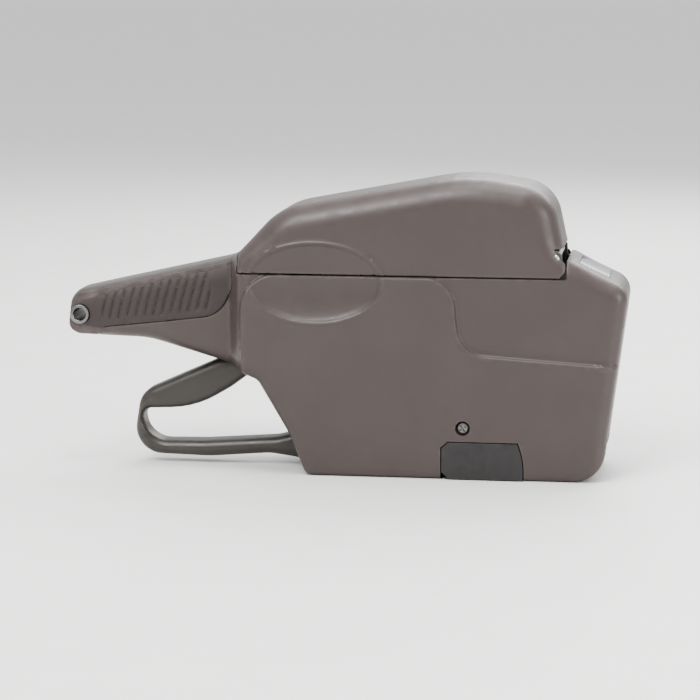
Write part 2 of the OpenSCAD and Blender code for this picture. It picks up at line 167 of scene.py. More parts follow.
# ------------------------------------------------------------------ meshes
def obj_from(name, verts, faces, smooth=True, angle=35):
    me = bpy.data.meshes.new(name)
    me.from_pydata([tuple(np.asarray(p) * MM) for p in verts], [], faces)
    bm = bmesh.new(); bm.from_mesh(me)
    bmesh.ops.remove_doubles(bm, verts=bm.verts, dist=2e-6)
    bmesh.ops.dissolve_degenerate(bm, edges=bm.edges, dist=1e-7)
    bmesh.ops.delete(bm, geom=[q for q in bm.verts if not q.link_faces], context="VERTS")
    bmesh.ops.recalc_face_normals(bm, faces=bm.faces)
    bm.to_mesh(me); bm.free()
    o = bpy.data.objects.new(name, me)
    bpy.context.scene.collection.objects.link(o)
    shade(o, smooth, angle)
    return o


def shade(o, smooth=True, angle=35):
    me = o.data
    me.polygons.foreach_set("use_smooth", [smooth] * len(me.polygons))
    if smooth:
        me.set_sharp_from_angle(angle=math.radians(angle))
    me.update()


def heightfield(name, loops, H_, y0, step=2.2, rings=(), extra=(), side=-1, rb=0.6, angle=38):
    """Closed solid over a plane region: flat face at y0, top face at H_(points). rings: inset distances that get rows of points."""
    loops = [dense(clean(L), 1.5) for L in loops]
    loops = [L if (area(L) > 0) == (i == 0) else L[::-1] for i, L in enumerate(loops)]
    pol = Poly(*loops)
    pts, edges = [], []
    for L in loops:
        n0 = len(pts); pts += L
        edges += [(n0 + i, n0 + (i + 1) % len(L)) for i in range(len(L))]
    nb = len(pts)
    bnd = [list(range(sum(len(q) for q in loops[:i]), sum(len(q) for q in loops[:i + 1]))) for i in range(len(loops))]
    more = []
    for d in rings:
        for L in loops:
            Ld = np.array(L)
            t = np.roll(Ld, -1, 0) - np.roll(Ld, 1, 0)
            t /= np.linalg.norm(t, axis=1)[:, None] + 1e-9
            n = np.stack([-t[:, 1], t[:, 0]], 1)
            q = Ld + n * d
            q = q[(pol.sd(q) > d * 0.93)]
            more.append(q)
    lo, hi = np.array(loops[0]).min(0), np.array(loops[0]).max(0)
    gx, gz = np.meshgrid(np.arange(lo[0], hi[0], step), np.arange(lo[1], hi[1], step * 0.87))
    gx[1::2] += step / 2
    g = np.stack([gx.ravel(), gz.ravel()], 1)
    dmin = (max(rings) if rings else 0) + step * 0.45
    g = g[pol.sd(g) > dmin]
    if len(extra):
        ex = np.array(extra, float)
        ex = ex[pol.sd(ex) > 0.25]
        if len(g):
            dd = np.array([np.min(((ex - p) ** 2).sum(1)) for p in g]) if len(ex) else np.full(len(g), 9e9)
            g = g[dd > (0.5 * step) ** 2]
        more.append(ex)
    more.append(g)
    allp = np.concatenate([np.array(pts)] + [m for m in more if len(m)])
    v, e, f, ov, _, _ = delaunay_2d_cdt([Vector(p) for p in allp], edges, [], 0, 1e-6)
    v = np.array([tuple(p) for p in v])
    cen = np.array([v[list(t)].mean(0) for t in f])
    ok = pol.inside(cen)
    f = [t for t, k in zip(f, ok) if k]
    y = H_(v)
    top = [(v[i][0], side * y[i], v[i][1]) for i in range(len(v))]
    n = len(v)
    bot = [(v[i][0], side * y0, v[i][1]) for i in range(n)]
    faces = [tuple(t) for t in f] + [tuple(n + i for i in t[::-1]) for t in f]
    # walls hang from the triangles' own rim, so a split outline edge leaves no gap
    rim = {(t[i], t[(i + 1) % len(t)]) for t in f for i in range(len(t))}
    faces += [(b, a, n + a, n + b) for a, b in sorted(rim) if (b, a) not in rim]
    return obj_from(name, top + bot, faces, angle=angle)


def prism(name, loops, y0, y1, bev=0.3, seg=2, both=True):
    """Extruded plane region with rounded rims, from y0 to y1."""
    loops = [clean(L) for L in loops]
    loops = [L if (area(L) > 0) == (i == 0) else L[::-1] for i, L in enumerate(loops)]
    verts, faces = [], []
    prof = [(0.0, bev)] if not both else []
    if bev > 0:
        prof = [(bev * (1 - math.cos(math.pi / 2 * k / seg)), bev * (1 - math.sin(math.pi / 2 * k / seg))) for k in range(seg, -1, -1)]
        prof2 = [(d, (y1 - y0) - h) for d, h in prof[::-1]]
        prof = prof + prof2
    else:
        prof = [(0, 0), (0, y1 - y0)]
    n2, ridx = [], []
    base = 0
    rows = [[] for _ in prof]
    for L in loops:
        Ld = np.array(L, float)
        e1 = Ld - np.roll(Ld, 1, 0); e2 = np.roll(Ld, -1, 0) - Ld
        e1 /= np.linalg.norm(e1, axis=1)[:, None]; e2 /= np.linalg.norm(e2, axis=1)[:, None]
        n1 = np.stack([-e1[:, 1], e1[:, 0]], 1); n2_ = np.stack([-e2[:, 1], e2[:, 0]], 1)
        n = n1 + n2_; n /= (np.linalg.norm(n, axis=1)[:, None] + 1e-9)
        sc = 1 / np.maximum(0.45, (n * n1).sum(1))
        for k, (d, h) in enumerate(prof):
            q = Ld + n * (d * sc)[:, None]
            s0 = len(verts)
            verts += [(p[0], y0 + h, p[1]) for p in q]
            rows[k].append((s0, len(L)))
    for li in range(len(loops)):
        for k in range(len(prof) - 1):
            s, m = rows[k][li]; t, _ = rows[k + 1][li]
            faces += [(s + i, s + (i + 1) % m, t + (i + 1) % m, t + i) for i in range(m)]
    for k, rev in ((0, False), (len(prof) - 1, True)):
        pts, ed, idx = [], [], []
        for s, m in rows[k]:
            n0 = len(pts)
            pts += [Vector((verts[s + i][0], verts[s + i][2])) for i in range(m)]
            idx += [s + i for i in range(m)]
            ed += [(n0 + i, n0 + (i + 1) % m) for i in range(m)]
        v, e, f, ov, _, _ = delaunay_2d_cdt(pts, ed, [], 0, 1e-7)
        pol = Poly(*[[(verts[s + i][0], verts[s + i][2]) for i in range(m)] for s, m in rows[k]])
        cen = np.array([[sum(v[i][0] for i in t) / 3, sum(v[i][1] for i in t) / 3] for t in f])
        ok = pol.inside(cen)
        back = {i: (src[0] if src else None) for i, src in enumerate(ov)}
        for t, kk in zip(f, ok):
            if kk and all(back[i] is not None for i in t):
                q = tuple(idx[back[i]] for i in t)
                faces.append(q[::-1] if rev else q)
    return obj_from(name, verts, faces)


def circ(c, r, n=48, a0=0.0):
    return [(c[0] + r * math.cos(2 * math.pi * k / n + a0), c[1] + r * math.sin(2 * math.pi * k / n + a0)) for k in range(n)]


def belt(w, R_, n_, r, m=20):
    d = math.dist(w, n_); g = math.atan2(n_[1] - w[1], n_[0] - w[0]); f = math.acos((R_ - r) / d)
    a = [g + f + (2 * math.pi - 2 * f) * k / m for k in range(m + 1)]
    b = [g - f + 2 * f * k / m for k in range(m + 1)]
    return [(w[0] + R_ * math.cos(t), w[1] + R_ * math.sin(t)) for t in a] + [(n_[0] + r * math.cos(t), n_[1] + r * math.sin(t)) for t in b]


def lathe(name, c, prof, n=64, angle=35, mod=None):
    """Turned piece about the +Y line through c. prof: closed list of (r, y); mod(theta, r, y) -> r."""
    verts, faces = [], []
    m = len(prof)
    for k in range(n):
        t = 2 * math.pi * k / n
        for r, y in prof:
            rr = mod(t, r, y) if mod else r
            verts.append((c[0] + rr * math.cos(t), y, c[1] + rr * math.sin(t)))
    for k in range(n):
        for i in range(m):
            a, b = k * m + i, k * m + (i + 1) % m
            c2, d = ((k + 1) % n) * m + (i + 1) % m, ((k + 1) % n) * m + i
            r0, r1 = prof[i][0], prof[(i + 1) % m][0]
            if r0 < 1e-6 and r1 < 1e-6:
                continue
            faces.append((a, b, c2, d))
    return obj_from(name, verts, faces, angle=angle)


def pin(name, c, r, y0, y1, ch=0.3, n=40):
    return lathe(name, c, [(0, y0), (r - ch, y0), (r, y0 + ch), (r, y1 - ch), (r - ch, y1), (0, y1)], n)


def tube_path(name, pts, r, n=12, closed=False):
    """Round wire along a list of 3D points, capped."""
    P3 = [np.array(p, float) for p in pts]
    verts, faces = [], []
    ref = np.array([0, 1.0, 0])
    T = []
    for i in range(len(P3)):
        a = P3[i - 1] if (i > 0 or closed) else P3[i]
        b = P3[(i + 1) % len(P3)] if (i < len(P3) - 1 or closed) else P3[i]
        t = b - a; T.append(t / np.linalg.norm(t))
    u = np.cross(T[0], ref); u /= np.linalg.norm(u) + 1e-9
    for i, p in enumerate(P3):
        u = u - T[i] * (u @ T[i]); u /= np.linalg.norm(u) + 1e-9
        w = np.cross(T[i], u)
        for k in range(n):
            a = 2 * math.pi * k / n
            verts.append(tuple(p + r * (math.cos(a) * u + math.sin(a) * w)))
    m = len(P3)
    for i in range(m if closed else m - 1):
        for k in range(n):
            a, b = i * n + k, i * n + (k + 1) % n
            j = (i + 1) % m
            faces.append((a, b, j * n + (k + 1) % n, j * n + k))
    if not closed:
        faces.append(tuple(range(n))[::-1]); faces.append(tuple((m - 1) * n + k for k in range(n)))
    return obj_from(name, verts, faces, angle=50)


def boolean(o, cutters, op="DIFFERENCE", angle=38, keep=False):
    for c in cutters:
        m = o.modifiers.new("b", "BOOLEAN")
        m.operation = op; m.object = c; m.solver = "MANIFOLD"
        was = (len(o.data.vertices), len(o.data.polygons))
        dg = bpy.context.evaluated_depsgraph_get()
        me = bpy.data.meshes.new_from_object(o.evaluated_get(dg))
        # a refused cut hands the mesh back as it was
        if len(me.polygons) == 0 or (len(me.vertices), len(me.polygons)) == was:
            m.solver = "EXACT"
            dg = bpy.context.evaluated_depsgraph_get()
            me = bpy.data.meshes.new_from_object(o.evaluated_get(dg))
        o.modifiers.clear()
        o.data = me
        if not keep:
            bpy.data.objects.remove(c)
    shade(o, True, angle)
    return o


def join(name, objs):
    bm = bmesh.new()
    for o in objs:
        bm.from_mesh(o.data)
    me = bpy.data.meshes.new(name)
    bm.to_mesh(me); bm.free()
    res = bpy.data.objects.new(name, me)
    bpy.context.scene.collection.objects.link(res)
    for o in objs:
        bpy.data.objects.remove(o)
    shade(res, True, 38)
    return res


# ------------------------------------------------------------------ materials
def mat(name, base, rough=0.5, metal=0.0, grain=1500.0, bump=0.25, depth=2.5e-5, blotch=0.10, rvar=0.07, wear=0.0,
        wear_col=None, spec=0.5, coat=0.0, stretch=None, dust=0.0, rings=None, alpha=1.0, trans=0.0, sheen=0.0, detail=3.0):
    m = bpy.data.materials.new(name)
    m.use_nodes = True
    nt = m.node_tree; N, L = nt.nodes, nt.links
    N.clear()
    out = N.new("ShaderNodeOutputMaterial"); b = N.new("ShaderNodeBsdfPrincipled")
    L.new(b.outputs[0], out.inputs[0])
    tc = N.new("ShaderNodeTexCoord")
    src = tc.outputs["Object"]
    if stretch:
        mp = N.new("ShaderNodeMapping"); mp.inputs["Scale"].default_value = stretch
        L.new(src, mp.inputs["Vector"]); fsrc = mp.outputs[0]
    else:
        fsrc = src
    fine = N.new("ShaderNodeTexNoise"); fine.inputs["Scale"].default_value = grain; fine.inputs["Detail"].default_value = detail
    L.new(fsrc, fine.inputs["Vector"])
    big = N.new("ShaderNodeTexNoise"); big.inputs["Scale"].default_value = 38.0; big.inputs["Detail"].default_value = 4.0
    L.new(src, big.inputs["Vector"])
    mid = N.new("ShaderNodeTexNoise"); mid.inputs["Scale"].default_value = 240.0; mid.inputs["Detail"].default_value = 5.0
    L.new(src, mid.inputs["Vector"])
    # colour: broad mottling
    ramp = N.new("ShaderNodeMapRange"); ramp.inputs["From Min"].default_value = 0.3; ramp.inputs["From Max"].default_value = 0.7
    ramp.inputs["To Min"].default_value = 1.0 - blotch; ramp.inputs["To Max"].default_value = 1.0 + blotch
    L.new(big.outputs["Fac"], ramp.inputs["Value"])
    sc = N.new("ShaderNodeVectorMath"); sc.operation = "SCALE"; sc.inputs[0].default_value = base[:3]
    L.new(ramp.outputs[0], sc.inputs["Scale"])
    col = sc.outputs[0]
    if rings:
        w = N.new("ShaderNodeTexWave"); w.wave_type = "RINGS"; w.rings_direction = "Y"
        w.inputs["Scale"].default_value = rings[0]; w.inputs["Distortion"].default_value = rings[1]; w.inputs["Detail"].default_value = 2.0
        mp2 = N.new("ShaderNodeMapping"); mp2.inputs["Location"].default_value = (-rings[2][0] * MM, 0, -rings[2][1] * MM)
        L.new(src, mp2.inputs["Vector"]); L.new(mp2.outputs[0], w.inputs["Vector"])
        mx = N.new("ShaderNodeMix"); mx.data_type = "RGBA"; mx.inputs["B"].default_value = [c * 0.62 for c in base[:3]] + [1]
        k = N.new("ShaderNodeMath"); k.operation = "MULTIPLY"; k.inputs[1].default_value = 0.45
        L.new(w.outputs["Fac"], k.inputs[0]); L.new(k.outputs[0], mx.inputs["Factor"]); L.new(col, mx.inputs["A"])
        col = mx.outputs["Result"]
    if wear > 0:
        geo = N.new("ShaderNodeNewGeometry")
        pr = N.new("ShaderNodeMapRange"); pr.inputs["From Min"].default_value = 0.515; pr.inputs["From Max"].default_value = 0.58
        L.new(geo.outputs["Pointiness"], pr.inputs["Value"])
        mm = N.new("ShaderNodeMath"); mm.operation = "MULTIPLY"
        nr = N.new("ShaderNodeMapRange"); nr.inputs["From Min"].default_value = 0.35; nr.inputs["From Max"].default_value = 0.75; nr.inputs["To Max"].default_value = wear
        L.new(mid.outputs["Fac"], nr.inputs["Value"]); L.new(pr.outputs[0], mm.inputs[0]); L.new(nr.outputs[0], mm.inputs[1])
        mx = N.new("ShaderNodeMix"); mx.data_type = "RGBA"
        mx.inputs["B"].default_value = list(wear_col or [min(1, c * 2.6 + 0.03) for c in base[:3]]) + [1]
        L.new(mm.outputs[0], mx.inputs["Factor"]); L.new(col, mx.inputs["A"]); col = mx.outputs["Result"]
    if dust > 0:
        geo = N.new("ShaderNodeNewGeometry"); sx = N.new("ShaderNodeSeparateXYZ"); L.new(geo.outputs["Normal"], sx.inputs[0])
        dr = N.new("ShaderNodeMapRange"); dr.inputs["From Min"].default_value = 0.4; dr.inputs["From Max"].default_value = 1.0; dr.inputs["To Max"].default_value = dust
        L.new(sx.outputs["Z"], dr.inputs["Value"])
        dm = N.new("ShaderNodeMath"); dm.operation = "MULTIPLY"; L.new(dr.outputs[0], dm.inputs[0]); L.new(mid.outputs["Fac"], dm.inputs[1])
        mx = N.new("ShaderNodeMix"); mx.data_type = "RGBA"; mx.inputs["B"].default_value = (0.42, 0.39, 0.36, 1)
        L.new(dm.outputs[0], mx.inputs["Factor"]); L.new(col, mx.inputs["A"]); col = mx.outputs["Result"]
    L.new(col, b.inputs["Base Color"])
    rr = N.new("ShaderNodeMapRange"); rr.inputs["From Min"].default_value = 0.3; rr.inputs["From Max"].default_value = 0.7
    rr.inputs["To Min"].default_value = max(0.02, rough - rvar); rr.inputs["To Max"].default_value = min(1, rough + rvar)
    L.new(mid.outputs["Fac"], rr.inputs["Value"]); L.new(rr.outputs[0], b.inputs["Roughness"])
    b.inputs["Metallic"].default_value = metal
    b.inputs["Specular IOR Level"].default_value = spec
    b.inputs["Coat Weight"].default_value = coat
    b.inputs["Coat Roughness"].default_value = 0.2
    if sheen:
        b.inputs["Sheen Weight"].default_value = sheen
    b.inputs["Alpha"].default_value = alpha
    b.inputs["Transmission Weight"].default_value = trans
    bp = N.new("ShaderNodeBump"); bp.inputs["Strength"].default_value = bump; bp.inputs["Distance"].default_value = depth
    L.new(fine.outputs["Fac"], bp.inputs["Height"]); L.new(bp.outputs[0], b.inputs["Normal"])
    m.diffuse_color = list(base[:3]) + [alpha]
    return m


M = {
    "casing_plastic": mat("casing_plastic", (0.060, 0.046, 0.043), 0.40, grain=1700, bump=0.55, depth=4e-5, blotch=0.05, wear=0.35, wear_col=(0.22, 0.19, 0.18), dust=0.08, spec=0.5),
    "frame_plastic": mat("frame_plastic", (0.050, 0.047, 0.045), 0.48, grain=1300, bump=0.35, wear=0.25),
    "dark_plastic": mat("dark_plastic", (0.022, 0.020, 0.020), 0.40, grain=1500, bump=0.35, wear=0.3, dust=0.05),
    "trigger_plastic": mat("trigger_plastic", (0.040, 0.036, 0.031), 0.38, grain=1600, bump=0.4, depth=3e-5, wear=0.4, wear_col=(0.2, 0.18, 0.165), dust=0.08),
    "grip_rubber": mat("grip_rubber", (0.044, 0.035, 0.034), 0.68, grain=900, bump=0.6, depth=7e-5, wear=0.25, spec=0.35, dust=0.14, sheen=0.15),
    "roller_rubber": mat("roller_rubber", (0.035, 0.034, 0.034), 0.62, grain=1100, bump=0.5, depth=5e-5, stretch=(1, 0.15, 1)),
    "steel": mat("steel", (0.62, 0.62, 0.61), 0.26, 1.0, grain=900, bump=0.15, depth=1.2e-5, blotch=0.06, stretch=(1, 0.06, 1)),
    "screw_steel": mat("screw_steel", (0.16, 0.155, 0.15), 0.34, 1.0, grain=1500, bump=0.3, wear=0.5, wear_col=(0.5, 0.5, 0.5)),
    "label_paper": mat("label_paper", (0.86, 0.84, 0.78), 0.72, grain=2200, bump=0.3, blotch=0.03, rings=(1500.0, 0.6, H)),
    "strip_paper": mat("strip_paper", (0.86, 0.84, 0.78), 0.70, grain=2200, bump=0.3, blotch=0.03),
    "core_card": mat("core_card", (0.42, 0.31, 0.20), 0.85, grain=700, bump=0.7, depth=8e-5, blotch=0.12, stretch=(1, 0.3, 1)),
    "wheel_plastic": mat("wheel_plastic", (0.66, 0.62, 0.50), 0.36, grain=1600, bump=0.2, wear=0.2, wear_col=(0.4, 0.36, 0.3)),
    "band_rubber": mat("band_rubber", (0.030, 0.027, 0.030), 0.55, grain=1800, bump=0.5, depth=4e-5),
    "ink_felt": mat("ink_felt", (0.016, 0.018, 0.045), 0.92, grain=1500, bump=1.0, depth=1.6e-4, blotch=0.25, spec=0.2, sheen=0.3, detail=6),
    "window_clear": mat("window_clear", (0.80, 0.84, 0.85), 0.08, grain=700, bump=0.05, alpha=0.4, blotch=0.02, rvar=0.03, spec=0.6),
    "foot_rubber": mat("foot_rubber", (0.030, 0.030, 0.030), 0.70, grain=1000, bump=0.6, depth=6e-5, spec=0.35),
    "print_rim": mat("print_rim", (0.30, 0.27, 0.25), 0.4, grain=1600, bump=0.3),
}


def dress(o, m):
    o.data.materials.clear(); o.data.materials.append(M[m])
    return o


SLOT_OF = {s["node"]: s["material_slot"] for s in frame["record"]["subparts"]}
for n, o in frame["nodes"].items():
    dress(o, SLOT_OF[n] if SLOT_OF[n] in M else "frame_plastic")


def put(o, body, nodes, m):
    dress(o, m)
    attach(o, body)
    if nodes:
        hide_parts(*([nodes] if isinstance(nodes, str) else nodes))
    return o


# ------------------------------------------------------------------ shells
out_l = dense(rp(OUT), 1.2)
OUTP = Poly(out_l)
panel_l = rp(PANEL)
PANP = Poly(panel_l)
grip_l = rp(GRIP)
GRP = Poly(grip_l)
cover_l = [(-41.2, SEAM + 0.3), (86.2, SEAM + 0.3), (88.5, 82.8), (88.5, 140), (-41.2, 140)]
COVP = Poly(cover_l)
nocover_l = [(-41.6, SEAM), (88.8, SEAM), (88.8, 140), (-41.6, 140)]
NCP = Poly(nocover_l)


def inset(loop, d, pol):
    Ld = np.array(loop); t = np.roll(Ld, -1, 0) - np.roll(Ld, 1, 0)
    t /= np.linalg.norm(t, axis=1)[:, None]
    s = 1 if area(loop) > 0 else -1
    n = np.stack([-t[:, 1], t[:, 0]], 1) * s
    q = Ld + n * d
    return [tuple(p) for p in q[pol.sd(q) > d * 0.985]]


def S(t):
    t = np.clip(t, 0, 1)
    return t * t * (3 - 2 * t)


def base_h(pts):
    """Half width of the whole tool at (x, z), without recesses."""
    x, z = pts[:, 0], pts[:, 1]
    d = np.maximum(OUTP.sd(pts), 0)
    tb = S((x + 46.5) / 7.0)
    tip = S((x + 116) / 30)
    W = (12.6 + 1.4 * tip) * (1 - tb) + 23.5 * tb
    pan = S((PANP.sd(pts) + 0.55) / 1.1)
    W = W + 1.5 * pan * tb
    cr = np.clip(d / 34, 0, 1)
    W = W - 0.5 * tb * (1 - cr) ** 2
    r = (8.0 * (1 - tb) + 6.2 * tb)
    r = 2.6 + (r - 2.6) * S((z - 3) / 16)
    r = r + 3.2 * S((z - 84) / 12) * tb
    dd = np.clip(d, 0, r)
    return W - r + np.sqrt(np.maximum(r * r - (r - dd) ** 2, 0)), d


def ell(pts, cx=-10, cz=77, a=26, b=15):
    return np.sqrt(((pts[:, 0] - cx) / a) ** 2 + ((pts[:, 1] - cz) / b) ** 2)


def edge_round(y, pts, pol, d_out, r=0.7):
    """Small round-over along the part lines of one region."""
    dr = np.maximum(pol.sd(pts), 0)
    on = dr < np.maximum(d_out - 0.05, 0) + 1e-6
    k = np.clip(dr, 0, r)
    cut = r - np.sqrt(np.maximum(r * r - (r - k) ** 2, 0))
    return y - np.where(on, cut, 0)


ring_pts = [(-10 + 26 * f * math.cos(t), 77 + 15 * f * math.sin(t)) for f in (0.55, 0.75, 0.88, 0.95, 0.985, 1.01, 1.04, 1.08, 1.13)
            for t in np.linspace(0, 2 * math.pi, 110, endpoint=False)]
pan_pts = []
for dlt in (-0.62, -0.3, 0.0, 0.3, 0.62):
    Ld = np.array(dense(panel_l, 1.2)); t_ = np.roll(Ld, -1, 0) - np.roll(Ld, 1, 0); t_ /= np.linalg.norm(t_, axis=1)[:, None]
    sgn = 1 if area(panel_l) > 0 else -1
    pan_pts += [tuple(p) for p in Ld + np.stack([-t_[:, 1], t_[:, 0]], 1) * sgn * dlt]
step_pts = [(x, z) for x in np.arange(-47.5, -38.6, 0.9) for z in np.arange(36, 92, 1.6)]


def H_casing(pol):
    def f(pts):
        y, d = base_h(pts)
        e = ell(pts)
        y = y - np.where(e < 1, 0.35 + 2.5 * np.sqrt(np.clip(1 - e * e, 0, 1)) ** 1.3, 0) * S((1.03 - e) / 0.04)
        y = y + 0.50 * np.exp(-((e - 1.065) / 0.030) ** 2)
        y = edge_round(y, pts, pol, d)
        return np.maximum(y, 1.0)
    return f


def H_cover(pol):
    def f(pts):
        y, d = base_h(pts)
        y = y - 1.5 * S((PANP.sd(pts) + 0.55) / 1.1) * S((pts[:, 0] + 46.5) / 7.0)
        e = ell(pts)
        y = y - np.where(e < 1, 0.25 + 0.95 * np.sqrt(np.clip(1 - e * e, 0, 1)), 0) * S((1.03 - e) / 0.04)
        y = y + 0.55 * np.exp(-((e - 1.065) / 0.028) ** 2)
        return np.maximum(edge_round(y, pts, pol, d), 1.0)
    return f


RINGS = (0.25, 0.7, 1.4, 2.3, 3.4, 4.8, 6.4, 8.6)
core_l = inset(out_l, 1.6, OUTP)
COREP = Poly(core_l)
STEP = 2.0


def door_pol(g):
    big = circ(DH, 31 + g, 160)
    bp = Poly(big)
    z = [(DH[0] - 1.3 - g, -2), (80, -2), (80, 15 + g), (DH[0] + 1.2, 15 + g), (DH[0] - 1.3 - g, 12.5 + g)]
    zp = Poly(z)
    return clean(regions(lambda c: bp.inside(c) & zp.inside(c), big, z)[0])


def make_casing(side):
    L = regions(lambda c: OUTP.inside(c) & ~NCP.inside(c) & ~GRP.inside(c), out_l, nocover_l, grip_l)
    loops = [L[0]]
    pol = Poly(*loops)
    tag = "left" if side > 0 else "right"
    extra = [p for p in ring_pts + pan_pts + step_pts]
    o = heightfield(tag + "_shell", loops, H_casing(pol), 0.05, STEP, RINGS, extra, side)
    ck = [(-130, 30), (-43.6, 30), (-43.6, 100), (-130, 100)]; ckp = Poly(ck)
    gx = [(p[0], p[1]) for p in rp([(-130, 39, 0), (-103.2, 39, 0), (-100.4, 54.8, 8), (-70, 58, 30), (-49.5, 60.5, 12), (-42.6, 74, 8), (-45.6, 101, 0), (-130, 101, 0)])]
    gxp = Poly(gx)
    cl = regions(lambda c: COREP.inside(c) & ckp.inside(c) & gxp.inside(c), core_l, ck, gx)
    o = boolean(o, [prism("core", [cl[0]], *(sorted((side * 0.05, side * 12.0))), bev=0)], "UNION")
    cav_l = inset(out_l, 2.2, OUTP)
    cavP = Poly(cav_l)
    hz = [(-130, -10), (-37.3, -10), (-37.3, 130), (-130, 130)]
    bz = [(-37.4, -10), (130, -10), (130, 130), (-37.4, 130)]

    def sy(n, loops_, a, b, bev=0):
        return prism(n, loops_, *(sorted((side * a, side * b))), bev=bev)
    cut = []
    hp = Poly(hz); bpn = Poly(bz)
    cut.append(sy("c1", [regions(lambda c: cavP.inside(c) & hp.inside(c), cav_l, hz)[0]], -1, 11.2))
    cut.append(sy("c2", [regions(lambda c: cavP.inside(c) & bpn.inside(c), cav_l, bz)[0]], -1, 21.3))
    cut.append(sy("c3", [[(-74, 40), (-74, 53.5), (-40, 50), (-20, 40), (-6, -1), (-40, -1)]], -1, 7.4))
    cut.append(sy("c4", [door_pol(0.3)], -1, 30))
    cut.append(sy("c5", [[(38.6, -1), (76, -1), (76, 5), (38.6, 5)]], -1, 21.3))
    cut.append(sy("c6", [rp([(86, -1, 0), (120, -1, 0), (120, 15.5, 0), (89, 15.5, 3), (86, 12, 2)])], -1, 18.4))
    cut.append(sy("c7", [[(-8.2, -1), (38.2, -1), (38.2, 1.7), (-8.2, 1.7)]], -1, 19.2))
    cut.append(lathe("c8", LE, [(0, side * -1), (4, side * -1), (4, side * 30), (0, side * 30)], 40))
    cut.append(sy("c9", [[(87.5, 86.4), (91.4, 87.2), (91.6, 92), (87.5, 92)]], -1, 30))
    th = math.radians(-24.6)
    ux, uz = (math.cos(th), math.sin(th)); vx, vz = (-math.sin(th), math.cos(th))
    c = (99.5, 82.9)
    wq = [(c[0] + a * ux + b * vx, c[1] + a * uz + b * vz) for a, b in ((-6.6, -5), (6.6, -5), (6.6, 5), (-6.6, 5))]
    cut.append(sy("c10", [wq], -1, 11.3))
    seats = [(49.1, 20.6)] if side < 0 else [(-30, 62), (-8, 12), (49.1, 20.6), (104, 66), (99.6, 24)]
    for i, p in enumerate(seats):
        cut.append(sy("s%d" % i, [circ(p, 2.95, 40)], 22.9, 30))
    if side > 0:
        for p in [(-92, 58.5), (-55, 60.5)]:
            cut.append(sy("h", [circ(p, 2.95, 40)], 11, 30))
        cut.append(sy("w", [rp([(66.5, 30.5, 5), (99.2, 30.5, 5), (101, 60.4, 5), (67.5, 60.4, 5)])], 18, 30))
    o = boolean(o, cut)
    o.name = tag + "_casing_shell"
    return put(o, "housing", tag + "_casing", "casing_plastic")


def make_cover():
    L = regions(lambda c: OUTP.inside(c) & COVP.inside(c), out_l, cover_l)
    pol = Poly(L[0])
    extra = [p for p in ring_pts]
    a = heightfield("cover_a", [L[0]], H_cover(pol), 0.0, STEP, RINGS, extra, -1)
    b = heightfield("cover_b", [L[0]], H_cover(pol), 0.0, STEP, RINGS, extra, 1)
    a = boolean(a, [b], "UNION")
    cav_l = inset(out_l, 2.2, OUTP); cavP = Poly(cav_l)
    cz = [(-39, 70), (86.3, 70), (86.3, 130), (-39, 130)]; czp = Poly(cz)
    cav = prism("cc", [regions(lambda c: cavP.inside(c) & czp.inside(c), cav_l, cz)[0]], -21.3, 21.3, bev=5.5, seg=6)
    low = prism("cl", [[(-38.9, 70), (84, 70), (84, 82.5), (-38.9, 82.5)]], -21.3, 21.3, bev=0)
    slot_ = prism("cs", [[(79, 70), (100, 70), (100, 91.6), (79, 91.6)]], -21.3, 21.3, bev=0)
    hole = lathe("ch", CH, [(0, -22.05), (1.55, -22.05), (1.55, 22.05), (0, 22.05)], 32)
    ease = prism("ce", [[(86.6, 80), (90, 80), (90, 83.4)]], -30, 30, bev=0)
    a = boolean(a, [cav, low, slot_, hole, ease])
    a.name = "roll_cover_shell"
    return put(a, "cover", "roll_cover", "casing_plastic")


def make_grip(side):
    L = regions(lambda c: OUTP.inside(c) & GRP.inside(c), out_l, grip_l)
    pol = Poly(L[0])

    def Hg(pts):
        y, d = base_h(pts)
        y = edge_round(y, pts, pol, d, 0.9)
        # finger ribs along the lower part, slanted
        s = pts[:, 0] * 0.97 - pts[:, 1] * 0.25
        g = (s / 3.4) % 1.0
        band = S((OUTP.sd(pts) - 3.2) / 1.2) * S((GRP.sd(pts) - 2.2) / 1.0) * S((-52.5 - pts[:, 0]) / 1.5) * S((pts[:, 0] + 99) / 1.5)
        rib = np.exp(-((g - 0.5) / 0.17) ** 2)
        return np.maximum(y - 0.75 * band * rib, 1.0)
    extra = [((3.4 * (k + f) + 0.25 * z) / 0.97, z) for k in range(-39, -14) for f in (0.0, 0.22, 0.36, 0.5, 0.64, 0.78) for z in np.arange(50, 84, 1.7)]
    o = heightfield("grip", [L[0]], Hg, 0.05, 1.4, RINGS[:4], extra, side)
    core = prism("core", [regions(lambda c: COREP.inside(c), core_l)[0]], *(sorted((-side * 1, side * 12.3))), bev=0)
    sl = prism("sl", [[(-74, 40), (-40, 40), (-40, 53.5), (-74, 53.5)]], *(sorted((-side * 1, side * 7.4))), bev=0)
    eye = lathe("e", LE, [(0, -30), (4.15, -30), (4.15, 30), (0, 30)], 40)
    cuts = [core, sl, eye]
    if side > 0:
        for p in [(-92, 58.5), (-55, 60.5)]:
            cuts.append(prism("h", [circ(p, 3.3, 40)], -1, 30, bev=0))
    o = boolean(o, cuts)
    o.name = ("left" if side > 0 else "right") + "_grip_sleeve"
    return put(o, "housing", ("left" if side > 0 else "right") + "_grip", "grip_rubber")


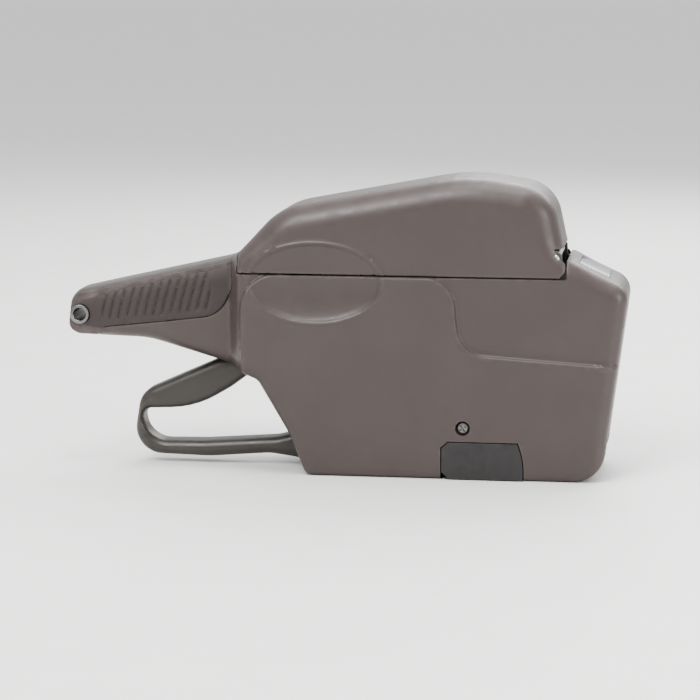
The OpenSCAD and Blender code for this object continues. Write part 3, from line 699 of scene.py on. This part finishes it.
def make_trigger():
    tl, ll = dense(rp(TRIG), 1.2), dense(rp(LOOP), 1.2)
    pol = Poly(tl, ll)

    def Ht(pts):
        d = np.maximum(pol.sd(pts), 0)
        r = 3.4
        k = np.clip(d, 0, r)
        return 6.4 - r + np.sqrt(np.maximum(r * r - (r - k) ** 2, 0)) + 0.0 * d
    parts = [heightfield("t", [tl, ll], Ht, 0.0, 1.7, (0.2, 0.6, 1.2, 2.0, 3.0), [], s) for s in (-1, 1)]
    o = boolean(parts[0], [parts[1]], "UNION")
    boss = lathe("tb", A, [(0, -9), (5.9, -9), (6.5, -8.4), (6.5, 8.4), (5.9, 9), (0, 9)], 56)
    o = boolean(o, [boss], "UNION")
    o = boolean(o, [lathe("th", A, [(0, -20), (2.55, -20), (2.55, 20), (0, 20)], 40), lathe("tp", P, [(0, -20), (2.0, -20), (2.0, 20), (0, 20)], 40)])
    o.name = "trigger_loop"
    return put(o, "trigger", "trigger_lever", "trigger_plastic")


make_casing(-1); make_casing(1)
make_cover()
make_grip(-1); make_grip(1)
make_trigger()


# ------------------------------------------------------------------ small parts
def ring_groove(name, c, y0, y1, r, bore, ch=0.4, n=64, mod=None, extra=None):
    prof = [(bore, y0 + 0.15), (bore + 0.15, y0), (r - ch, y0), (r - ch * 0.3, y0 + ch * 0.3), (r, y0 + ch)]
    prof += extra or []
    prof += [(r, y1 - ch), (r - ch * 0.3, y1 - ch * 0.3), (r - ch, y1), (bore + 0.15, y1), (bore, y1 - 0.15)]
    return lathe(name, c, prof, n, mod=mod)


def phillips(name, p, y0, y1, s, head=2.6, shank=1.2):
    """Pan-head screw along Y: shank from y0, head ending at y1 on side s."""
    hb = y1 - 1.5 * s
    prof = [(0, y0), (shank - 0.2, y0), (shank, y0 + 0.2 * s), (shank, hb), (head - 0.1, hb), (head, hb + 0.15 * s), (head, y1 - 0.75 * s), (head - 0.35, y1 - 0.3 * s), (head - 0.9, y1 - 0.06 * s), (0, y1)]
    o = lathe(name, p, prof, 40)
    a = math.radians(R.uniform(0, 90))
    cuts = []
    for t in (a, a + math.pi / 2):
        dx, dz = math.cos(t), math.sin(t)
        q = [(p[0] + u * dx - v * dz, p[1] + u * dz + v * dx) for u, v in ((-1.55, -0.33), (1.55, -0.33), (1.55, 0.33), (-1.55, 0.33))]
        cuts.append(prism("x", [q], *(sorted((y1 - 0.85 * s, y1 + s))), bev=0))
    return boolean(o, cuts)


def coil(name, c, r, wire, y0, y1, turns, legs=True, per=40):
    n = int(per * turns)
    pts = [(c[0] + r * math.cos(2 * math.pi * turns * i / n), y0 + (y1 - y0) * i / n, c[1] + r * math.sin(2 * math.pi * turns * i / n)) for i in range(n + 1)]
    return tube_path(name, pts, wire, 10)


FSL = [(-30, 62), (-8, 12), (49.1, 20.6), (104, 66), (99.6, 24)]
HSL = [(-92, 58.5), (-55, 60.5)]
ls = join("casing_screws_left", [phillips("s", p, 19, 23.9, 1) for p in FSL]); put(ls, "housing", "left_screws", "screw_steel")
rs = join("casing_screw_right", [phillips("s", p, -19, -23.9, -1) for p in FSL[2:3]]); put(rs, "housing", "right_screw", "screw_steel")
hs = join("handle_screw_pair", [phillips("s", p, -7.5, 12.5, 1) for p in HSL]); put(hs, "housing", "handle_screws", "screw_steel")

# lanyard eyelet with a rolled flange
eye = lathe("lanyard_eyelet", LE, [(2.5, -14.1), (2.75, -14.38), (3.3, -14.4), (3.8, -14.2), (3.95, -13.9), (3.95, 13.9), (3.8, 14.2), (3.3, 14.4), (2.75, 14.38), (2.5, 14.1)], 48, 30)
put(eye, "housing", "lanyard_bush", "screw_steel")

# sole plate
sole = prism("sole_plate", [rp([(-8, 0.0, 0.01), (38, 0, 0.01), (38, 1.5, 0.5), (-8, 1.5, 0.5)])], -19, 19, bev=0.35)
gro = [prism("g", [[(x, -1), (x + 1.4, -1), (x + 1.2, 0.45), (x + 0.2, 0.45)]], -15, 15, bev=0) for x in range(-2, 36, 6)]
put(boolean(sole, gro), "housing", "foot_plate", "foot_rubber")

# pins and shafts
for n, c, r, a, b in (("trigger_pin", A, 2.5, -21, 21), ("yoke_pin", B, 2.5, -21, 21), ("cover_hinge_pin", CH, 1.5, -22.0, 22.0),
                      ("door_pin", DH, 1.25, -21, 21), ("feed_axle", F, 2, -21, 21), ("applicator_axle", AR, 2, -21, 21)):
    put(pin(n + "_turned", c, r, a, b), "housing", n, "steel")
put(pin("drive_pin_turned", P, 2, -16.6, 16.6), "trigger", "drive_pin", "steel")
put(pin("line_1_shaft_turned", W1, 2, -15.8, 27), "print_head", "line_1_shaft", "steel")
put(pin("line_2_shaft_turned", W2, 2, -15.8, 27), "print_head", "line_2_shaft", "steel")
put(join("frame_spacer_set", [pin("f", c, 2.5, -19, 19) for c in ((-2, 9), (28, 12), (104, 74), (-31, 72.5))]), "housing", "frame_spacers", "steel")
put(coil("trigger_torsion_spring", A, 4.6, 0.6, 10, 13.2, 2.25), "housing", "trigger_spring", "steel")
put(coil("ink_arm_torsion_spring", IP, 3.7, 0.24, -18.5, -18.7, 0.85), "housing", "ink_arm_spring", "steel")

# setting knobs with a fluted rim and a raised pointer
for k, c in ((1, W1), (2, W2)):
    flute = lambda t, r, y: r - (0.55 * (0.5 + 0.5 * math.cos(18 * t)) ** 2 if (r > 5.9 and 24.3 < y < 29.4) else 0)
    prof = [(2.03, 22.55), (2.2, 22.4), (6.6, 22.4), (7.0, 22.8), (7.0, 23.8), (6.7, 24.2), (6.45, 24.4), (6.45, 25.5), (6.42, 26.5), (6.4, 27.5), (6.35, 28.6), (6.2, 29.3),
            (5.6, 29.85), (4.9, 30.0), (4.3, 29.6), (3.9, 29.2), (0, 29.2), (0, 27.2), (2.03, 27.2)]
    kb = lathe("knob", c, prof, 108, mod=flute, angle=30)
    mark = prism("m", [[(c[0] - 0.4, c[1] + 1.2), (c[0] + 0.4, c[1] + 1.2), (c[0] + 0.4, c[1] + 3.4), (c[0] - 0.4, c[1] + 3.4)]], 29.0, 29.75, bev=0.1)
    kb = boolean(kb, [mark], "UNION"); kb.name = "line_%d_fluted_knob" % k
    put(kb, "line_%d_setting_knob" % k, "line_%d_knob" % k, "dark_plastic")

# type wheels with detents and numeral pads
for l, c in ((1, W1), (2, W2)):
    for k in range(1, 7):
        yc = (k - 3.5) * 3.4
        o = lathe("w", c, [(2.05, yc - 1.4), (2.15, yc - 1.5), (3.0, yc - 1.5), (3.1, yc - 1.1), (5.6, yc - 1.1), (5.75, yc - 1.5), (6.3, yc - 1.5), (6.6, yc - 1.2),
                             (6.6, yc + 1.2), (6.3, yc + 1.5), (5.75, yc + 1.5), (5.6, yc + 1.1), (3.1, yc + 1.1), (3.0, yc + 1.5), (2.15, yc + 1.5), (2.05, yc + 1.4)], 80,
                  mod=lambda t, r, y: r - (0.35 if (r > 6 and math.cos(10 * t) > 0.55) else 0), angle=30)
        holes = [prism("h", [circ((c[0] + 4.35 * math.cos(a), c[1] + 4.35 * math.sin(a)), 0.75, 16)], yc - 3, yc + 3, bev=0) for a in np.arange(8) * math.pi / 4]
        o = boolean(o, holes); o.name = "line_%d_type_wheel_%d" % (l, k)
        put(o, "line_%d_digit_%d" % (l, k), "line_%d_wheel_%d" % (l, k), "wheel_plastic")

SEG = {0: "abcdef", 1: "bc", 2: "abged", 3: "abgcd", 4: "fgbc", 5: "afgcd", 6: "afgedc", 7: "abc", 8: "abcdefg", 9: "abcdfg"}


def band_set(name, w, n_):
    parts = []
    for i in range(6):
        y = (i - 2.5) * 3.4
        o = prism("b", [belt(w, 7.25, n_, 2.4, 26), belt(w, 6.66, n_, 1.8, 26)], y - 1.45, y + 1.45, bev=0.12)
        path = dense(belt(w, 7.25, n_, 2.4, 60), 0.5)
        per = [0]
        for a in range(len(path)):
            per.append(per[-1] + math.dist(path[a], path[(a + 1) % len(path)]))
        tot = per[-1]; cnt = 10
        segs = []
        vs, fs = [], []
        for d in range(cnt):
            s0 = tot * d / cnt + 1.0
            bars = {"a": (0.0, 2.0, 0, 1), "g": (1.3, 2.0, 0, 1), "d": (2.6, 2.0, 0, 1), "f": (0, -0.85, 1.5, 0), "b": (0, 0.85, 1.5, 0), "e": (1.3, -0.85, 1.5, 0), "c": (1.3, 0.85, 1.5, 0)}
            for ch in SEG[(d + i * 3) % 10]:
                s_, a_, ln, hz_ = bars[ch]
                if hz_:
                    s1, s2, ya, yb = s_, s_ + 0.32, -1.0, 1.0
                else:
                    s1, s2, ya, yb = s_, s_ + 1.62, a_ - 0.16, a_ + 0.16
                quad = []
                for sv in (s1, s2):
                    u = (s0 + sv) % tot
                    k = int(np.searchsorted(per, u) - 1); k = max(0, min(k, len(path) - 1))
                    f_ = (u - per[k]) / max(1e-6, per[k + 1] - per[k])
                    a0, b0 = np.array(path[k]), np.array(path[(k + 1) % len(path)])
                    pt = a0 + (b0 - a0) * f_; t = (b0 - a0) / (np.linalg.norm(b0 - a0) + 1e-9)
                    nn = np.array([t[1], -t[0]])
                    quad.append((pt - nn * 0.1, pt + nn * 0.33))
                b_ = len(vs)
                for (lo_, hi_) in quad:
                    for yy in (y + ya, y + yb):
                        vs.append((lo_[0], yy, lo_[1])); vs.append((hi_[0], yy, hi_[1]))
                fs += [(b_, b_ + 1, b_ + 3, b_ + 2), (b_ + 4, b_ + 6, b_ + 7, b_ + 5), (b_, b_ + 4, b_ + 5, b_ + 1), (b_ + 2, b_ + 3, b_ + 7, b_ + 6), (b_ + 1, b_ + 5, b_ + 7, b_ + 3), (b_, b_ + 2, b_ + 6, b_ + 4)]
        parts += [o, obj_from("d", vs, fs, smooth=False)]
    return join(name, parts)


put(band_set("line_1_type_bands", W1, N1), "print_head", "line_1_bands", "band_rubber")
put(band_set("line_2_type_bands", W2, N2), "print_head", "line_2_bands", "band_rubber")

# print head yoke: two ribbed plates on one hub
yk = rp([(-32.5, 60, 5), (-21, 63.5, 5), (-2, 50, 12), (34, 41, 16), (64, 46, 8), (67, 61.5, 4), (99, 61.5, 4), (98, 41.5, 5), (72, 37.5, 6), (48, 32, 8), (14, 28, 8), (-3, 28.5, 3), (-6, 38, 4), (-20, 47.5, 6), (-32.5, 49, 5)])
yk_h = [rp([(24, 38.5, 3), (46, 37.5, 3), (58, 41, 1), (60, 38.2, 0.7), (46, 34.6, 3), (22, 32.6, 1.5)]), circ(B, 2.56, 40), circ(W1, 2.1, 40), circ(W2, 2.1, 40),
        belt((P[0] - 0.3, P[1] + 0.2), 2.3, (P[0] + 2.2, P[1] - 1.6), 2.3, 14)]
ya = prism("ya", [yk] + yk_h, 14, 15.6, bev=0.3); yb = prism("yb", [yk] + yk_h, -15.6, -14, bev=0.3)
hub = lathe("yh", B, [(2.56, -14.2), (5.2, -14.2), (5.2, 14.2), (2.56, 14.2)], 48)
yo = join("head_yoke_arms", [ya, yb, hub]); put(yo, "print_head", "head_yoke", "frame_plastic")

hbk = rp([(68.5, 60, 3), (99, 60, 3), (99, 45, 4), (91.6, 32.4, 1.5), (77.4, 32.0, 1.5), (68.5, 45, 4)])
hb = [prism("hb", [rp([(68.5, 61, 3), (99, 61, 3), (99, 45, 4), (91.2, 32.6, 1.5), (77.4, 31.8, 1.5), (68.5, 45, 4)]), circ(W1, 2.08, 32), circ(W2, 2.08, 32)], *ys, bev=0.35) for ys in ((11.3, 13.9), (-13.9, -11.3))]
hb += [prism("hb", [[(83.6, 38), (84.4, 38), (84.4, 60.6), (83.6, 60.6)]], -11.4, 11.4, bev=0), prism("hb", [[(82.4, 59.6), (85.6, 59.6), (85.6, 60.6), (82.4, 60.6)]], -11.4, 11.4, bev=0)]
hb += [pin("hb", N1, 1.7, -11.4, 11.4, 0.05), pin("hb", N2, 1.7, -11.4, 11.4, 0.05)]
put(join("type_head_block", hb), "print_head", "head_block", "wheel_plastic")

fp = prism("feed_pawl_plate", [rp([(61.5, 37.5, 1.5), (66.5, 37.5, 1.5), (70.6, 30, 1.5), (70.2, 24, 0.6), (67.2, 21.6, 0), (68.3, 25.4, 1), (67.6, 29, 1), (62, 32.5, 1.5)]), circ((64, 35), 1.3, 24)], 11.5, 13, bev=0.15)
put(fp, "print_head", "feed_pawl", "steel")
cp = join("check_pawl_leaf", [prism("c", [[(48.4, 20.4), (48.9, 20.4), (48.9, 12.2), (49.0, 10.6), (48.5, 10.6), (48.4, 12.2)]], 10.9, 13.2, bev=0.08), prism("c", [rp([(46.6, 19.8, .3), (48.9, 19.8, .3), (48.9, 22.4, .3), (46.6, 22.4, .3)])], 10.9, 19, bev=0.15)])
put(cp, "housing", "check_pawl", "steel")

# feed drum with sprocket pins and ratchet
dr = ring_groove("d", F, -10.9, 10.9, 7.4, 2.05, 0.5, 72, extra=[(7.4, -8.2), (7.1, -7.9), (7.1, -4.1), (7.4, -3.8), (7.4, 3.8), (7.1, 4.1), (7.1, 7.9), (7.4, 8.2)])
pins_ = []
for a in range(8):
    for y in (-6, 6):
        t = math.radians(45 * a); u = Vector((math.sin(t), 0, math.cos(t)))
        base_ = Vector((F[0], y, F[1]))
        pts = [base_ + u * 6.6, base_ + u * 7.4, base_ + u * 8.0, base_ + u * 8.38]
        v_, f_ = [], []
        for p_, rr in zip(pts, (0.9, 0.88, 0.72, 0.42)):
            e1 = Vector((0, 1, 0)); e2 = u.cross(e1)
            v_ += [tuple(p_ + e1 * rr * math.cos(q) + e2 * rr * math.sin(q)) for q in np.linspace(0, 2 * math.pi, 16, endpoint=False)]
        for i in range(3):
            f_ += [(i * 16 + k, i * 16 + (k + 1) % 16, (i + 1) * 16 + (k + 1) % 16, (i + 1) * 16 + k) for k in range(16)]
        f_ += [tuple(range(16))[::-1], tuple(48 + k for k in range(16))]
        pins_.append(obj_from("p", v_, f_))
put(join("feed_drum_sprockets", [dr] + pins_), "feed", "feed_drum", "wheel_plastic")
rt = []
for k in range(16):
    a = 2 * math.pi * k / 16
    rt += [(F[0] + 6.9 * math.cos(a), F[1] + 6.9 * math.sin(a)), (F[0] + 5.7 * math.cos(a + 0.052), F[1] + 5.7 * math.sin(a + 0.052))]
put(prism("ratchet_teeth", [rt, circ(F, 2.05, 32)], 10.95, 13.2, bev=0.12), "feed", "ratchet_wheel", "dark_plastic")

# rollers
put(ring_groove("applicator_roller_tyre", AR, -17.6, 17.6, 7, 2.05, 0.6, 96, extra=[(7, y) if q in (0, 3) else (6.72, y) for yy in (-12, -6, 0, 6, 12) for q, y in enumerate((yy - 0.6, yy - 0.4, yy + 0.4, yy + 0.6))]), "applicator", "applicator_roller", "roller_rubber")
put(ring_groove("ink_foam_roll", IR, -12.6, 12.6, 4, 1.55, 0.9, 72, mod=lambda t, r, y: r + (0.04 * math.sin(7 * t + y) if r > 3.5 else 0) - (0.04 if r > 3.5 else 0)), "ink_roll", "ink_roller", "ink_felt")
put(lathe("pinch_roller_turned", PR, [(0, -15), (0.85, -15), (1, -14.8), (1, -13.2), (1.8, -13.2), (1.95, -13), (1.95, 13), (1.8, 13.2), (1, 13.2), (1, 14.8), (0.85, 15), (0, 15)], 40), "pinch", "pressure_roller", "roller_rubber")
ink = [prism("ia", [belt(IP, 3.9, IR, 3, 18), belt(((IP[0] * .68 + IR[0] * .32), (IP[1] * .68 + IR[1] * .32)), 1.3, ((IP[0] * .4 + IR[0] * .6), (IP[1] * .4 + IR[1] * .6)), 1.2, 10)], *ys, bev=0.3) for ys in ((16.2, 18.2), (-18.2, -16.2))]
ink += [pin("ib", IP, 2.5, 18.1, 20.9), pin("ib", IP, 2.5, -20.9, -18.1), pin("ib", IR, 1.5, -16.3, 16.3, 0.05)]
put(join("ink_arm_frame", ink), "ink_arm", "ink_carrier", "dark_plastic")

# label supply
def label_layers():
    prof = []
    n = 34
    for i in range(n + 1):
        r = 10.3 + (30.9 - 10.3) * i / n
        w = 11.0 - (0.10 if i % 2 else 0.0) - R.uniform(0, 0.05)
        prof.append((r, w))
    pr = [(10.2, -10.9)] + [(r, -w) for r, w in prof] + [(31.0, -10.8), (31.0, 10.8)] + [(r, w) for r, w in prof[::-1]] + [(10.2, 10.9)]
    return lathe("label_roll_wound", H, pr, 128, angle=50)


put(label_layers(), "supply_roll", "label_roll", "label_paper")
put(ring_groove("roll_core_tube", H, -11, 11, 10.18, 8.55, 0.15, 72), "supply_roll", "roll_core", "core_card")
for s, tg in ((1, "left"), (-1, "right")):
    pr = [(0, s * 21), (2.8, s * 21), (3, s * 20.8), (3, s * 18.9), (4.8, s * 18.9), (5, s * 18.7), (5, s * 13.4), (12.4, s * 13.4), (12.7, s * 12.9), (14.0, s * 12.9), (14.2, s * 13.4), (14.7, s * 13.4), (15, s * 13.1), (15, s * 11.9), (14.7, s * 11.6),
          (8.5, s * 11.6), (8.5, s * 6.6), (7.9, s * 6.0), (0, s * 6.0)]
    hb_ = lathe("h", H, pr, 88)
    win = [prism("hw", [belt((H[0] + 7.2 * math.cos(t), H[1] + 7.2 * math.sin(t)), 1.1, (H[0] + 10.6 * math.cos(t), H[1] + 10.6 * math.sin(t)), 1.6, 10)], *(sorted((s * 12.2, s * 15))), bev=0) for t in np.arange(6) * math.pi / 3 + 0.3]
    hb_ = boolean(hb_, win); hb_.name = tg + "_hub_disc"
    put(hb_, "housing", tg + "_roll_hub", "dark_plastic")
strip = [(27, 46.0), (66, 21.2), (70, 18.75), (92, 18.4), (93.6, 18.3), (93.6, 18.02), (70, 18.3), (65.8, 20.95), (26.9, 45.6)]
put(prism("label_strip_web", [dense(strip, 2)], -11, 11, bev=0), "housing", "label_strip", "strip_paper")

# platen
pl = prism("pl", [[(65, 15.2), (89.5, 15.2), (92.8, 17.1), (92.8, 17.6), (65, 17.6)]], -19, 19, bev=0.15)
pl = boolean(pl, [prism("n", [[(60, 10), (71, 10), (71, 20), (60, 20)]], 10.2, 14.4, bev=0)]); pl.name = "platen_bar"
put(pl, "housing", "platen", "steel")
put(prism("platen_strip", [[(71, 17.6), (91.5, 17.6), (91.5, 18), (71, 18)]], -12, 12, bev=0.1), "housing", "platen_pad", "roller_rubber")

# side frames
base_fr = [(-36.5, 77), (-36.5, 42), (-31.6, 39.8), (-17.2, 15), (-11.4, 2.8), (90.5, 2.8), (96.4, 4.2), (100.6, 8), (102.3, 12.4), (110.1, 70.4), (108.8, 74), (106, 76.2), (99, 79),
           (91, 83.4), (87.2, 85.2), (87, 89.6), (84.8, 91.1), (82, 90.4), (80.4, 86), (76, 77), (37, 77), (30, 87), (14, 87), (7, 77)]
ol2 = [(-120, 30), (-36, 36), (-12, -2.2), (104, -2.2), (111.3, 8), (118, 78), (99, 86.2), (91, 90.2), (91, 130), (-120, 130)]
for s, tg in ((1, "left"), (-1, "right")):
    holes = [circ(H, 3.05, 40), circ(A, 2.55, 32), circ(B, 2.55, 32), circ(F, 2.05, 32), circ(AR, 2.05, 32), circ(CH, 1.55, 24), circ(IP, 2.55, 32)] + [circ(p, 1.2, 20) for p in FSL] + [rp([(20, 52, 6), (38, 40, 6), (30, 28, 6), (8, 46, 6)])]
    if s > 0:
        holes.append(rp([(66.5, 30.5, 5), (97.2, 30.5, 5), (95.6, 60.4, 5), (67.5, 60.4, 5)]))
    else:
        holes.append(rp([(70, 34, 5), (94, 34, 5), (94, 58, 5), (70, 58, 5)])) if False else None
    o = prism(tg + "_frame_plate", [base_fr] + holes, *(sorted((s * 19, s * 21))), bev=0.25)
    o = boolean(o, [lathe("dh", DH, [(0, 18), (1.3, 18), (1.3, 22), (0, 22)] if s > 0 else [(0, -22), (1.3, -22), (1.3, -18), (0, -18)], 24)]); o.name = tg + "_frame_plate"
    put(o, "housing", tg + "_side_frame", "frame_plastic")

# bottom door
dp = door_pol(0.0)
dpP = Poly(dp)
tri = [(40, 3.4), (40, -1), (45.5, -1)]
z30 = [(0, 0.3), (90, 0.3), (90, 30), (0, 30)]; z30P = Poly(z30); triP = Poly(tri)
flap = regions(lambda c: dpP.inside(c) & z30P.inside(c) & ~triP.inside(c), dp, z30, tri)[0]
db = [prism("d", [flap], *ys, bev=0.35) for ys in ((23, 24.9), (-24.9, -23))]
db.append(prism("d", [[(44.0, 0.3), (72.6, 0.3), (72.6, 2), (42.5, 2)]], -23.4, 23.4, bev=0))
for s in (1, -1):
    db.append(prism("d", [belt(DH, 2.3, (48, 1.3), 0.6, 14), circ(DH, 1.3, 24)], *(sorted((s * 15.6, s * 18.4))), bev=0.15))
    db.append(prism("d", [[(52.5, 1.8), (59.5, 1.8), (58, 5.6), (54, 5.6)], circ(PR, 1.05, 20)], *(sorted((s * 13.4, s * 15))), bev=0.1))
    # thumb ribs on each flap
    for x in (52.0, 55.2, 58.4, 61.6):
        db.append(prism("d", [belt((x, 4.4), 0.62, (x, 11.0), 0.6, 8)], *(sorted((s * 24.3, s * 24.98))), bev=0.25))
put(join("bottom_door_tray", db), "door", "bottom_door", "dark_plastic")

# reading window
th = math.radians(-24.6)
ux, uz, vx, vz = math.cos(th), math.sin(th), -math.sin(th), math.cos(th)
wq = [(99.5 + a * ux + b * vx, 82.9 + a * uz + b * vz) for a, b in ((-6.4, -2.6), (6.4, -2.6), (6.4, -0.2), (-6.4, -0.2))]
put(prism("reading_lens", [wq], -11, 11, bev=0.3), "housing", "reading_window", "window_clear")

# ------------------------------------------------------------------ stage
def stage_plane():
    me = bpy.data.meshes.new("floor")
    s = 30.0
    me.from_pydata([(-s, -s, 0), (s, -s, 0), (s, s, 0), (-s, s, 0)], [], [(0, 1, 2, 3)])
    o = bpy.data.objects.new("floor", me); bpy.context.scene.collection.objects.link(o)
    o.location.z = -0.00005
    m = mat("floor_paint", (0.80, 0.79, 0.77), 0.55, grain=260, bump=0.05, blotch=0.015, rvar=0.05)
    me.materials.append(m)


def light(name, loc, size, power, target=(0, 0, 0.06), col=(1, 1, 1), sy=None):
    d = bpy.data.lights.new(name, "AREA"); d.energy = power; d.size = size; d.color = col
    if sy:
        d.shape = "RECTANGLE"; d.size_y = sy
    o = bpy.data.objects.new(name, d); bpy.context.scene.collection.objects.link(o)
    o.location = loc
    o.rotation_euler = (Vector(target) - Vector(loc)).to_track_quat("-Z", "Y").to_euler()


stage_plane()
light("key", (-0.35, -0.75, 0.95), 0.6, 12)
light("rim", (0.25, 0.75, 0.75), 0.9, 10)
light("top", (0.1, -0.05, 1.2), 0.8, 7, sy=0.5)
light("front", (0.95, -0.45, 0.35), 0.5, 4)
w = bpy.data.worlds.new("w"); bpy.context.scene.world = w; w.use_nodes = True
w.node_tree.nodes["Background"].inputs[0].default_value = (0.93, 0.94, 0.96, 1)
w.node_tree.nodes["Background"].inputs[1].default_value = 0.9

cam_d = bpy.data.cameras.new("cam"); cam = bpy.data.objects.new("cam", cam_d)
bpy.context.scene.collection.objects.link(cam)
cam_d.lens = 130
tgt = Vector((0.001, 0, 0.047))
az, elv, dist = math.radians(8), math.radians(9), 1.02
cam.location = tgt + dist * Vector((math.sin(az) * math.cos(elv), -math.cos(az) * math.cos(elv), math.sin(elv)))
cam.rotation_euler = (tgt - cam.location).to_track_quat("-Z", "Y").to_euler()
bpy.context.scene.camera = cam
bpy.context.scene.view_settings.view_transform = "AgX"
bpy.context.scene.view_settings.look = "AgX - Medium High Contrast"
